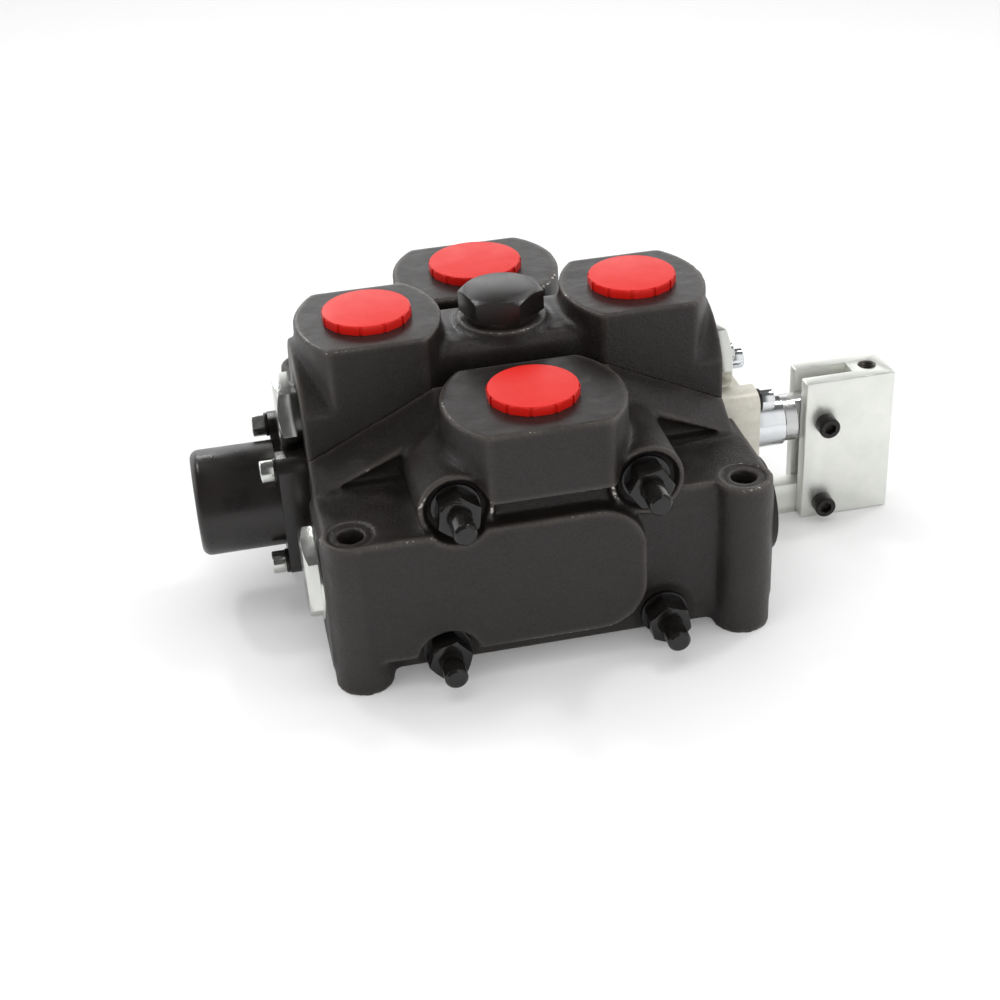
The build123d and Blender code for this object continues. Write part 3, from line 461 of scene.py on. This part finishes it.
class Finish(Enum):
    """Finishes of the valve's pieces."""

    # Enamel over sand-cast iron: a warm near-black with a dull sheen and chipped edges, drawn paler partly
    # as thinned paint and partly as a painted highlight.
    CASTING_PAINT = PaintedCastIron()
    # Black oxide on turned steel, oiled: nearly black, with tight highlights on the corners.
    BLACK_OXIDE = MetalFinish("oiled_black_oxide_on_turned_steel", "#262321", "#171514", 0.35, 0.30,
                              5.0, 0.9, 0.12)
    # The nuts and studs got the castings' enamel too, thick and wet-looking: black with bright glints.
    WET_ENAMEL = MetalFinish("thick_charcoal_enamel_on_nuts", "#1b1918", "#131110", 0.0, 0.13,
                             6.0, 2.4, 0.40)
    # Cap and plug paint is the castings' enamel over smooth turned steel, so it has no sand grain.
    TURNED_PAINT = MetalFinish("charcoal_enamel_on_turned_steel", "#1f1b1a", "#171413", 0.0, 0.30,
                               14.0, 2.2, 0.10)
    # Clear zinc plate on cold-drawn steel: pale, slightly cloudy, with soft reflections.
    ZINC_PLATE = MetalFinish("clear_zinc_on_cold_drawn_steel", "#dfe0dc", "#d3d5d0", 1.0, 0.20,
                             7.0, 1.2, 0.012)
    # Zinc on the sawn and brushed lever block: a paler, flatter grey with faint upright streaks.
    BRUSHED_ZINC = MetalFinish("brushed_zinc_on_sawn_bar", "#f6f7f2", "#e9ebe5", 0.85, 0.38,
                               16.0, 0.8, 0.12, (6.0, 6.0, 0.35))
    # Cream-tinted zinc on the milled retainer, nearly matt.
    WARM_ZINC = MetalFinish("cream_zinc_on_milled_steel", "#dedbd0", "#cdc9bc", 0.30, 0.45,
                            5.0, 0.9, 0.08)
    # Chrome on a turned collar: bright, with faint marks left by polishing.
    CHROME_PLATE = MetalFinish("chrome_on_turned_steel", "#eef0f2", "#e2e5e8", 1.0, 0.14,
                               8.0, 0.6, 0.015)
    # Tapped thread drawn dark grey inside the pale block, as painted shade for the inside of the hole.
    SHADED_THREAD = MetalFinish("tapped_steel_thread_painted_shade", "#8a8780", "#5f5c57", 0.9, 0.34,
                               2.0, 0.6, 0.05)
    # Ground spool steel: grey, with fine lines round the axis.
    GROUND_STEEL = MetalFinish("ground_hardened_steel", "#d8d9d8", "#cbcccb", 1.0, 0.28,
                               6.0, 0.5, 0.06, (6.0, 1.0, 1.0))
    # Oil-tempered wire: dark grey and slightly dull.
    SPRING_STEEL = MetalFinish("oil_tempered_spring_wire", "#6c6a68", "#4b4a49", 1.0, 0.34,
                               3.0, 0.6, 0.10)
    # Moulded polyethylene: a strong red with a soft sheen, that light enters a little.
    CAP_RED = MouldedPolymer("red_moulded_polyethylene", "#d9180d", "#cf150b", 0.42, 2.0, 1.5, 0.06)
    # Moulded nitrile rubber: matt black.
    NITRILE = MouldedPolymer("black_moulded_nitrile_rubber", "#161616", "#1d1d1d", 0.62, 0.0, 0.9, 0.15)


@dataclass
class Shop:
    """The frame's nodes and the finishes, each made into a material when it is first used."""

    nodes: dict[str, bpy.types.Object]
    made: dict[Finish, bpy.types.Material] = field(default_factory=dict)

    def material(self, finish: Finish) -> bpy.types.Material:
        """Give the material of a finish.

        Args:
            finish: The finish.

        Returns:
            Its material, the same one each time.
        """
        if finish not in self.made:
            self.made[finish] = finish.value.material()
        return self.made[finish]

    def repaint(self, source: str, finish: Finish) -> None:
        """Give a frame node that keeps its own mesh another material.

        Args:
            source: Name of the node.
            finish: Its finish.
        """
        materials = self.nodes[source].data.materials
        materials.clear()
        materials.append(self.material(finish))
        LOG.info("%s: the frame's own mesh in %s", source, finish.value.name)


def add_object(name: str, data: bpy.types.ID) -> bpy.types.Object:
    """Link a new object to the scene.

    Args:
        name: Its name.
        data: Its mesh, camera or light.

    Returns:
        The new object.
    """
    made = bpy.data.objects.new(name, data)
    bpy.context.scene.collection.objects.link(made)
    return made


def solid_copy(node: bpy.types.Object, name: str) -> bpy.types.Object:
    """Copy a frame node's mesh into a new object with welded vertices and whole flat faces.

    Args:
        node: The frame node.
        name: Name of the new piece.

    Returns:
        The new object, linked to the scene.
    """
    mesh = node.data.copy()
    mesh.name = name
    mesh.materials.clear()
    copy = add_object(name, mesh)
    shape = bmesh.new()
    shape.from_mesh(mesh)
    bmesh.ops.remove_doubles(shape, verts=shape.verts, dist=WELD_MM * MM)
    bmesh.ops.dissolve_limit(shape, angle_limit=math.radians(SAME_FACE_DEGREES), verts=shape.verts,
                             edges=shape.edges)
    shape.to_mesh(mesh)
    shape.free()
    return copy


def apply_modifiers(piece: bpy.types.Object) -> None:
    """Replace a piece's mesh with the result of its modifiers.

    Args:
        piece: The piece, changed in place.
    """
    graph = bpy.context.evaluated_depsgraph_get()
    result = bpy.data.meshes.new_from_object(piece.evaluated_get(graph))
    piece.modifiers.clear()
    piece.data = result


def shade(piece: bpy.types.Object, sharp_degrees: float) -> None:
    """Shade a piece smooth, with sharp edges above an angle."""
    piece.data.shade_smooth()
    piece.data.set_sharp_from_angle(angle=math.radians(sharp_degrees))


def dress(piece: bpy.types.Object, body: Body, slot: Slot, material: bpy.types.Material,
          *nodes: str) -> None:
    """Give a piece its material and body, and hide the frame nodes that it replaces.

    Args:
        piece: The finished piece.
        body: Body that it rides on.
        slot: Not used.
        material: Its material.
        nodes: Frame nodes that it replaces.
    """
    piece.data.materials.clear()
    piece.data.materials.append(material)
    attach(piece, body.value)
    if nodes:
        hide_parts(*nodes)
    LOG.info("%s: %d faces on %s", piece.name, len(piece.data.polygons), body.value)


@dataclass
class MeshGraph:
    """Points of a mesh with the edges between them, for moving points by their neighbours."""

    mesh: bpy.types.Mesh
    count: int = field(init=False)
    points: np.ndarray = field(init=False)
    first: np.ndarray = field(init=False)
    second: np.ndarray = field(init=False)
    degree: np.ndarray = field(init=False)

    def __post_init__(self) -> None:
        """Read the points and edges."""
        self.count = len(self.mesh.vertices)
        points = np.empty(self.count * 3)
        self.mesh.vertices.foreach_get("co", points)
        self.points = points.reshape(-1, 3)
        ends = np.empty(len(self.mesh.edges) * 2, dtype=np.int64)
        self.mesh.edges.foreach_get("vertices", ends)
        self.first, self.second = ends.reshape(-1, 2).T
        meetings = np.bincount(np.concatenate([self.first, self.second]), minlength=self.count)
        self.degree = meetings[:, None].astype(float)

    def pull(self, values: np.ndarray) -> np.ndarray:
        """Find the step from each value to the mean of its neighbours.

        Args:
            values: One row for each point.

        Returns:
            One step for each row.
        """
        total = np.zeros_like(values)
        for axis in range(values.shape[1]):
            total[:, axis] = np.bincount(self.first, values[self.second, axis], self.count)
            total[:, axis] += np.bincount(self.second, values[self.first, axis], self.count)
        return total / self.degree - values

    def write(self) -> None:
        """Put the points back into the mesh."""
        self.mesh.vertices.foreach_set("co", self.points.ravel())
        self.mesh.update()

    def normals(self) -> np.ndarray:
        """Give the vertex normals of the current points.

        Returns:
            One normal for each point.
        """
        self.write()
        found = np.empty(self.count * 3)
        self.mesh.vertex_normals.foreach_get("vector", found)
        return found.reshape(-1, 3)


@dataclass
class Castings:
    """The three castings, with the rounded corners that a sand mould gives.

    Bend is how far a point stands out from its neighbours, as a share of the voxel.
    """

    bolt_pattern: dict[str, float]
    voxel_mm: float = 0.9
    edge_passes: int = 3
    corner_passes: int = 40
    passes_per_normal: int = 6
    blur_passes: int = 2
    pass_share: float = 0.5
    full_edge_bend: float = 0.096
    foot_top_mm: float = 73.5
    spot_radius_mm: float = 10.0
    spot_depth_mm: float = 0.6
    spot_wall_mm: float = 0.3
    spot_search_mm: float = 3.0

    def holes(self) -> list[tuple[float, float]]:
        """Find the centres of the foot holes.

        Returns:
            X and Y of each hole, in metres.
        """
        half_x = self.bolt_pattern["spacing_x_mm"] / 2 * MM
        half_y = self.bolt_pattern["spacing_y_mm"] / 2 * MM
        return [(x, y) for x in (-half_x, half_x) for y in (-half_y, half_y)]

    def spot_faces(self, points: np.ndarray, edge: np.ndarray,
                   holes: Iterable[tuple[float, float]]) -> None:
        """Cut the shallow flat ring round each foot hole again, with a crisp rim at the full edge value.

        Args:
            points: Vertices of a casting, changed in place.
            edge: Edge value of each vertex, changed in place.
            holes: Centre of each foot hole, in metres.
        """
        radius, voxel = self.spot_radius_mm * MM, self.voxel_mm * MM
        seat = (self.foot_top_mm - self.spot_depth_mm) * MM
        for hole in holes:
            offset = points[:, :2] - hole
            reach = np.hypot(offset[:, 0], offset[:, 1])
            top = points[:, 2] > seat - self.spot_search_mm * MM
            rim = top & (np.abs(reach - radius) < 0.5 * voxel)
            inner = top & (reach < radius - 0.5 * voxel)
            wall = inner & (reach > radius - 1.5 * voxel)
            for ring, target in ((rim, radius), (wall, radius - self.spot_wall_mm * MM)):
                points[ring, :2] = hole + offset[ring] * (target / reach[ring])[:, None]
            points[inner, 2] = np.minimum(points[inner, 2], seat)
            # The rim gets the full edge value: chips, and the paler edge paint that is partly a painted
            # highlight.
            edge[rim] = 1.0

    def rounded(self, mesh: bpy.types.Mesh) -> None:
        """Fill the inner corners of a mesh and take the outer ones down slightly.

        Args:
            mesh: Remeshed casting, changed in place. It gets an "edge" value on each vertex.
        """
        graph = MeshGraph(mesh)
        for _ in range(self.edge_passes):
            graph.points = graph.points + self.pass_share * graph.pull(graph.points)
        for turn in range(self.corner_passes):
            step = graph.pull(graph.points)
            if turn % self.passes_per_normal == 0:
                facing = graph.normals()
            outward = np.maximum(np.einsum("ij,ij->i", step, facing), 0.0)
            graph.points = graph.points + self.pass_share * outward[:, None] * facing
        facing = graph.normals()
        bend = -np.einsum("ij,ij->i", graph.pull(graph.points), facing)[:, None] / (self.voxel_mm * MM)
        for _ in range(self.blur_passes):
            bend = bend + self.pass_share * graph.pull(bend)
        # The edge value drives the chips and the paler edge paint, which is partly a painted highlight.
        edge = np.clip(bend.ravel() / self.full_edge_bend, 0.0, 1.0)
        self.spot_faces(graph.points, edge, self.holes())
        graph.write()
        attribute = mesh.attributes.new("edge", "FLOAT", "POINT")
        attribute.data.foreach_set("value", edge.astype(np.float32))

    def build(self, shop: Shop) -> None:
        """Build and dress the castings and the rings in their seams.

        Args:
            shop: The nodes and finishes.
        """
        for source in ("inlet_section", "work_section", "outlet_section"):
            piece = solid_copy(shop.nodes[source], source + "_cast")
            remesh = piece.modifiers.new("sand_mould", "REMESH")
            remesh.mode = "VOXEL"
            remesh.voxel_size = self.voxel_mm * MM
            apply_modifiers(piece)
            self.rounded(piece.data)
            piece.data.shade_smooth()
            dress(piece, Body.VALVE, Slot.CASTING, shop.material(Finish.CASTING_PAINT), source)
        shop.repaint("section_seals", Finish.NITRILE)


@dataclass(frozen=True)
class Machined:
    """Machined, turned or moulded piece that keeps its solid's shape and gets broken edges.

    The facets of a slim round piece meet at wider angles, so its corners start at a wider angle.
    """

    source: str
    finish: Finish
    slot: Slot
    body: Body = Body.VALVE
    edge_mm: float = 0.3
    corner_degrees: float = FLAT_CORNER_DEGREES
    segments: int = 3
    smooth_margin_degrees: float = 4.0

    def build(self, shop: Shop) -> None:
        """Build and dress the piece.

        Args:
            shop: The nodes and finishes.
        """
        piece = solid_copy(shop.nodes[self.source], self.source + "_finished")
        bevel = piece.modifiers.new("broken_edges", "BEVEL")
        bevel.width = self.edge_mm * MM
        bevel.segments = self.segments
        bevel.limit_method = "ANGLE"
        bevel.angle_limit = math.radians(self.corner_degrees)
        bevel.use_clamp_overlap = True
        apply_modifiers(piece)
        shade(piece, self.corner_degrees + self.smooth_margin_degrees)
        dress(piece, self.body, self.slot, shop.material(self.finish), self.source)


@dataclass(frozen=True)
class CoilSpring:
    """Coil spring whose upper or right end sits on the valve and whose other end meets a moving body; it
    keeps the frame's pose.
    """

    source: str
    moving: Body
    axis: Axis
    sharp_degrees: float = 40.0

    def build(self, shop: Shop) -> None:
        """Build the spring in the frame's pose, give it its material, and hide the frame node.

        Args:
            shop: The nodes and finishes.
        """
        piece = solid_copy(shop.nodes[self.source], self.source + "_coil")
        shade(piece, self.sharp_degrees)
        piece.data.materials.append(shop.material(Finish.SPRING_STEEL))
        low, fixed_end = (Vector(corner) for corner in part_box(self.source))
        moving_end = fixed_end.copy()
        moving_end[self.axis.value] = low[self.axis.value]
        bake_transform(piece)
        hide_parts(self.source)
        LOG.info("%s: %d faces between %s and %s", piece.name, len(piece.data.polygons),
                 Body.VALVE.value, self.moving.value)


@dataclass
class SubAssembly:
    """Pieces of one sub-assembly: machined ones, springs, and nodes that keep the frame's mesh."""

    machined: tuple[Machined, ...] = ()
    springs: tuple[CoilSpring, ...] = ()
    kept: tuple[tuple[str, Finish], ...] = ()

    def build(self, shop: Shop) -> None:
        """Build and dress the pieces.

        Args:
            shop: The nodes and finishes.
        """
        for part in self.machined + self.springs:
            part.build(shop)
        for source, finish in self.kept:
            shop.repaint(source, finish)


@dataclass
class TieRods(SubAssembly):
    """Four tie rods with a washer and a nut at each end, under thick enamel."""

    machined: tuple[Machined, ...] = (
        Machined("tie_rods", Finish.WET_ENAMEL, Slot.BLACK_STEEL, corner_degrees=SLIM_CORNER_DEGREES),
        Machined("tie_washers", Finish.WET_ENAMEL, Slot.BLACK_STEEL),
        Machined("tie_nuts", Finish.WET_ENAMEL, Slot.BLACK_STEEL),
    )


@dataclass
class SpoolCap(SubAssembly):
    """Spring cap on the left, with its screws and lock washers."""

    machined: tuple[Machined, ...] = (
        Machined("spool_cap", Finish.TURNED_PAINT, Slot.CASTING, edge_mm=0.5),
        Machined("cap_lock_washers", Finish.BLACK_OXIDE, Slot.BLACK_STEEL),
        Machined("cap_screws", Finish.ZINC_PLATE, Slot.ZINC, corner_degrees=SLIM_CORNER_DEGREES),
    )


@dataclass
class SpoolLine(SubAssembly):
    """Spool with its centring spring, seats, end screw, seals and bright collar."""

    machined: tuple[Machined, ...] = (
        Machined("spool", Finish.GROUND_STEEL, Slot.STEEL, Body.SPOOL,
                 corner_degrees=SLIM_CORNER_DEGREES),
        Machined("bonnet_collar", Finish.CHROME_PLATE, Slot.CHROME, corner_degrees=SLIM_CORNER_DEGREES),
    )
    springs: tuple[CoilSpring, ...] = (CoilSpring("centring_spring", Body.SPOOL, Axis.X),)
    kept: tuple[tuple[str, Finish], ...] = (
        ("spool_end_seat", Finish.GROUND_STEEL),
        ("spool_end_screw", Finish.GROUND_STEEL),
        ("spring_seat_ring", Finish.GROUND_STEEL),
        ("spool_seals", Finish.NITRILE),
    )


@dataclass
class Retainer(SubAssembly):
    """Retainer plate on the right, with its screws, washers and wiper ring."""

    machined: tuple[Machined, ...] = (
        Machined("retainer_plate", Finish.WARM_ZINC, Slot.ZINC, edge_mm=0.5),
        Machined("retainer_washers", Finish.BLACK_OXIDE, Slot.BLACK_STEEL),
        Machined("retainer_screws", Finish.CHROME_PLATE, Slot.CHROME,
                 corner_degrees=SLIM_CORNER_DEGREES),
    )
    kept: tuple[tuple[str, Finish], ...] = (("wiper_ring", Finish.NITRILE),)


@dataclass
class LeverLinkage(SubAssembly):
    """Lever block with its two screws, the fulcrum link and the link's pin."""

    machined: tuple[Machined, ...] = (
        Machined("link_pin", Finish.BLACK_OXIDE, Slot.BLACK_STEEL),
        Machined("fulcrum_link", Finish.BRUSHED_ZINC, Slot.ZINC, Body.LINK),
        Machined("lever_block", Finish.BRUSHED_ZINC, Slot.ZINC, Body.LEVER),
        Machined("tongue_screw", Finish.BLACK_OXIDE, Slot.BLACK_STEEL, Body.LEVER,
                 corner_degrees=SLIM_CORNER_DEGREES),
        Machined("fulcrum_screw", Finish.BLACK_OXIDE, Slot.BLACK_STEEL, Body.LEVER,
                 corner_degrees=SLIM_CORNER_DEGREES),
    )


@dataclass
class LoadCheck(SubAssembly):
    """Load check in the middle, with its plug, poppet and spring."""

    machined: tuple[Machined, ...] = (
        Machined("load_check_plug", Finish.TURNED_PAINT, Slot.CASTING, edge_mm=0.5),
    )
    springs: tuple[CoilSpring, ...] = (CoilSpring("load_check_spring", Body.POPPET, Axis.Z),)
    kept: tuple[tuple[str, Finish], ...] = (("load_check_poppet", Finish.GROUND_STEEL),)


@dataclass
class ReliefsAndPlugs(SubAssembly):
    """Relief cartridges and the plugs that close the passages."""

    machined: tuple[Machined, ...] = (
        Machined("port_relief_left", Finish.ZINC_PLATE, Slot.ZINC),
        Machined("port_relief_right", Finish.ZINC_PLATE, Slot.ZINC),
        Machined("relief_adjuster", Finish.ZINC_PLATE, Slot.ZINC, corner_degrees=SLIM_CORNER_DEGREES),
        Machined("inlet_relief_plug", Finish.ZINC_PLATE, Slot.ZINC),
        Machined("inlet_side_plug", Finish.BLACK_OXIDE, Slot.BLACK_STEEL),
        Machined("outlet_side_plugs", Finish.BLACK_OXIDE, Slot.BLACK_STEEL),
    )


@dataclass
class TransitCaps(SubAssembly):
    """Red caps that close the four ports."""

    machined: tuple[Machined, ...] = tuple(
        Machined(source, Finish.CAP_RED, Slot.RED_PLASTIC, edge_mm=0.65)
        for source in ("inlet_port_cap", "outlet_port_cap", "work_port_cap_left", "work_port_cap_right"))


@dataclass
class LeverThread:
    """Thread ridges inside the blind lever hole of the lever block."""

    mount: dict[str, Any]
    pitch_mm: float = 1.25
    depth_mm: float = 0.45
    gap_mm: float = 0.03
    steps: int = 40
    sharp_degrees: float = 30.0

    def rings(self, shape: bmesh.types.BMesh) -> list[list[bmesh.types.BMVert]]:
        """Add the crests and roots of the thread, one turn to a ring.

        Args:
            shape: Mesh that takes the vertices.

        Returns:
            The vertices of each ring, from the top down.
        """
        place = Vector(self.mount["pos_m"])
        pitch = self.pitch_mm * MM
        root = (self.mount["dims"]["r_mm"] - self.gap_mm) * MM
        crest = root - self.depth_mm * MM
        turns = int(self.mount["dims"]["length_mm"] / self.pitch_mm) - 1
        rings = []
        for row in range(2 * turns + 1):
            reach = crest if row % 2 else root
            down = (0.5 + row / 2) * pitch
            ring = []
            for step in range(self.steps + 1):
                angle = math.tau * step / self.steps
                climb = pitch * step / self.steps
                offset = Vector((reach * math.cos(angle), reach * math.sin(angle), climb - down))
                ring.append(shape.verts.new(place + offset))
            rings.append(ring)
        return rings

    def build(self, shop: Shop) -> None:
        """Build the ridges as one lathed wall just inside the hole.

        Args:
            shop: The nodes and finishes.
        """
        shape = bmesh.new()
        rings = self.rings(shape)
        for upper, lower in zip(rings, rings[1:]):
            for step in range(self.steps):
                shape.faces.new((upper[step], upper[step + 1], lower[step + 1], lower[step]))
        mesh = bpy.data.meshes.new("lever_hole_thread")
        shape.to_mesh(mesh)
        shape.free()
        piece = add_object("lever_hole_thread", mesh)
        shade(piece, self.sharp_degrees)
        # Dark grey finish: painted shade for the inside of the hole.
        dress(piece, Body.LEVER, Slot.ZINC, shop.material(Finish.SHADED_THREAD))


@dataclass(frozen=True)
class Lamp:
    """Soft rectangular lamp aimed at the valve. Glossy surfaces show it only if it is mirrored."""

    name: str
    place: tuple[float, float, float]
    size: tuple[float, float]
    watts: float
    mirrored: bool = False
    aim: tuple[float, float, float] = (0.0, 0.0, 0.06)

    def build(self) -> None:
        """Place the lamp."""
        data = bpy.data.lights.new(self.name, "AREA")
        data.shape = "RECTANGLE"
        data.size, data.size_y = self.size
        data.energy = self.watts
        lamp = add_object(self.name, data)
        lamp.location = self.place
        lamp.rotation_mode = "QUATERNION"
        lamp.rotation_quaternion = (Vector(self.aim) - Vector(self.place)).to_track_quat("-Z", "Y")
        lamp.visible_glossy = self.mirrored


@dataclass(frozen=True)
class Room:
    """World that is white to the camera and gives matt surfaces soft light.

    Reflections see a bright sweep low behind the valve, a paler right side, a window ahead on the
    right, and a dim room elsewhere. A span is a range of one part of the direction.
    """

    soft: float = 0.5
    dim: float = 0.10
    sweep: float = 1.55
    sweep_z_span: tuple[float, float] = (0.40, 0.62)
    sweep_y_span: tuple[float, float] = (-0.35, 0.30)
    right: float = 0.55
    right_x_span: tuple[float, float] = (0.45, 0.85)
    window: float = 0.95
    window_x_span: tuple[float, float] = (0.12, 0.26)
    window_y_span: tuple[float, float] = (-0.60, -0.25)

    def reflected(self, tree: bpy.types.NodeTree) -> bpy.types.NodeSocket:
        """Add the nodes for the room that glossy surfaces see.

        Args:
            tree: The world's tree.

        Returns:
            Strength of the world in each direction.
        """
        direction = add_node(tree, "ShaderNodeSeparateXYZ",
                             {0: add_node(tree, "ShaderNodeTexCoord").outputs["Generated"]})
        spans = {"low": ("Z", self.sweep_z_span, self.sweep, self.dim),
                 "behind": ("Y", self.sweep_y_span, 0.0, 1.0),
                 "right": ("X", self.right_x_span, self.dim, self.right),
                 "beside": ("X", self.window_x_span, 0.0, self.window),
                 "ahead": ("Y", self.window_y_span, 1.0, 0.0)}
        level = {name: add_node(tree, "ShaderNodeMapRange",
                                {"Value": direction.outputs[axis], "From Min": span[0],
                                 "From Max": span[1], "To Min": first, "To Max": last},
                                interpolation_type="SMOOTHSTEP").outputs[0]
                 for name, (axis, span, first, last) in spans.items()}
        sweep = add_node(tree, "ShaderNodeMath", {0: level["low"], 1: level["behind"]},
                         operation="MULTIPLY")
        window = add_node(tree, "ShaderNodeMath", {0: level["beside"], 1: level["ahead"]},
                          operation="MULTIPLY")
        lit = add_node(tree, "ShaderNodeMath", {0: level["right"], 1: window.outputs[0]},
                       operation="MAXIMUM")
        return add_node(tree, "ShaderNodeMath", {0: sweep.outputs[0], 1: lit.outputs[0]},
                        operation="MAXIMUM").outputs[0]

    def build(self) -> None:
        """Build the world."""
        world = bpy.data.worlds.new("pale_studio")
        world.use_nodes = True
        tree = world.node_tree
        tree.nodes.clear()
        path = add_node(tree, "ShaderNodeLightPath")
        plain = add_node(tree, "ShaderNodeMath",
                         {0: path.outputs["Is Camera Ray"], 1: 1.0 - self.soft, 2: self.soft},
                         operation="MULTIPLY_ADD")
        level = add_node(tree, "ShaderNodeMix",
                         {"Factor": path.outputs["Is Glossy Ray"], "A": plain.outputs[0],
                          "B": self.reflected(tree)}, data_type="FLOAT")
        sky = add_node(tree, "ShaderNodeBackground",
                       {"Color": linear("#ffffff"), "Strength": level.outputs["Result"]})
        add_node(tree, "ShaderNodeOutputWorld", {"Surface": sky.outputs[0]})
        bpy.context.scene.world = world


@dataclass(frozen=True)
class PaperSweep:
    """White paper floor that takes the valve's shadow and is lifted to white for the camera."""

    half_m: float = 6.0
    paper: str = "#e6e6e6"
    lift: float = 0.12

    def build(self) -> None:
        """Build the floor."""
        mesh = bpy.data.meshes.new("floor")
        h = self.half_m
        mesh.from_pydata([(-h, -h, 0), (h, -h, 0), (h, h, 0), (-h, h, 0)], [], [(0, 1, 2, 3)])
        floor = add_object("floor", mesh)
        material = bpy.data.materials.new("white_paper_sweep")
        material.use_nodes = True
        tree = material.node_tree
        tree.nodes.clear()
        path = add_node(tree, "ShaderNodeLightPath")
        paper = add_node(tree, "ShaderNodeBsdfDiffuse", {"Color": linear(self.paper)})
        lift = add_node(tree, "ShaderNodeMath", {0: path.outputs["Is Camera Ray"], 1: self.lift},
                        operation="MULTIPLY")
        glow = add_node(tree, "ShaderNodeEmission",
                        {"Color": linear("#ffffff"), "Strength": lift.outputs[0]})
        both = add_node(tree, "ShaderNodeAddShader", {0: paper.outputs[0], 1: glow.outputs[0]})
        add_node(tree, "ShaderNodeOutputMaterial", {"Surface": both.outputs[0]})
        mesh.materials.append(material)


@dataclass(frozen=True)
class PhotoCamera:
    """Camera of the photograph, solved from it and given by its place and its right and up axes."""

    position_mm: tuple[float, float, float] = (-127.14, -677.77, 447.68)
    right: tuple[float, float, float] = (0.97767, -0.20425, -0.04934)
    up: tuple[float, float, float] = (0.14762, 0.50055, 0.85303)
    lens_mm: float = 61.94
    sensor_mm: float = 36.0
    near_m: float = 0.01
    far_m: float = 50.0

    def build(self) -> None:
        """Place the camera and make it the scene's own."""
        data = bpy.data.cameras.new("photo_camera")
        data.lens = self.lens_mm
        data.sensor_width = self.sensor_mm
        data.clip_start = self.near_m
        data.clip_end = self.far_m
        camera = add_object("photo_camera", data)
        right = Vector(self.right).normalized()
        back = right.cross(Vector(self.up)).normalized()
        up = back.cross(right)
        turn = Matrix((right, up, back)).transposed().to_4x4()
        camera.matrix_world = Matrix.Translation(Vector(self.position_mm) * MM) @ turn
        bpy.context.scene.camera = camera


@dataclass
class Studio:
    """Camera, pale room, paper floor and lamps. Small mirrored lamps give the metal its glints."""

    lamps: tuple[Lamp, ...] = (
        Lamp("overhead_softbox", (-0.1, 0.25, 1.5), (1.8, 1.4), 11.5),
        Lamp("left_fill", (-1.3, -0.7, 0.8), (0.9, 0.9), 5.0),
        Lamp("right_fill", (1.3, -0.5, 0.7), (0.7, 0.9), 4.0),
        Lamp("front_fill", (0.1, -1.6, 0.6), (1.4, 0.7), 6.5),
        Lamp("left_spark", (-0.5, 0.55, 1.1), (0.14, 0.14), 2.2, mirrored=True),
        Lamp("right_spark", (0.6, 0.2, 1.15), (0.14, 0.14), 2.2, mirrored=True),
        Lamp("rear_spark", (-0.27, 1.5, 1.0), (0.14, 0.14), 2.0, mirrored=True),
    )

    def build(self) -> None:
        """Build the whole studio."""
        PhotoCamera().build()
        Room().build()
        PaperSweep().build()
        for lamp in self.lamps:
            lamp.build()
        bpy.context.scene.view_settings.view_transform = "Standard"


def main() -> None:
    """Build the valve's looks."""
    logging.basicConfig(level=logging.INFO, format="%(name)s %(message)s")
    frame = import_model()
    mounts = {mount["name"]: mount for mount in frame["record"]["mounts"]}
    shop = Shop(frame["nodes"])

    Castings(mounts["foot_bolts"]["dims"]).build(shop)
    TieRods().build(shop)
    SpoolCap().build(shop)
    SpoolLine().build(shop)
    Retainer().build(shop)
    LeverLinkage().build(shop)
    LeverThread(mounts["lever_socket"]).build(shop)
    LoadCheck().build(shop)
    ReliefsAndPlugs().build(shop)
    TransitCaps().build(shop)
    Studio().build()


if __name__ == "__main__":
    main()
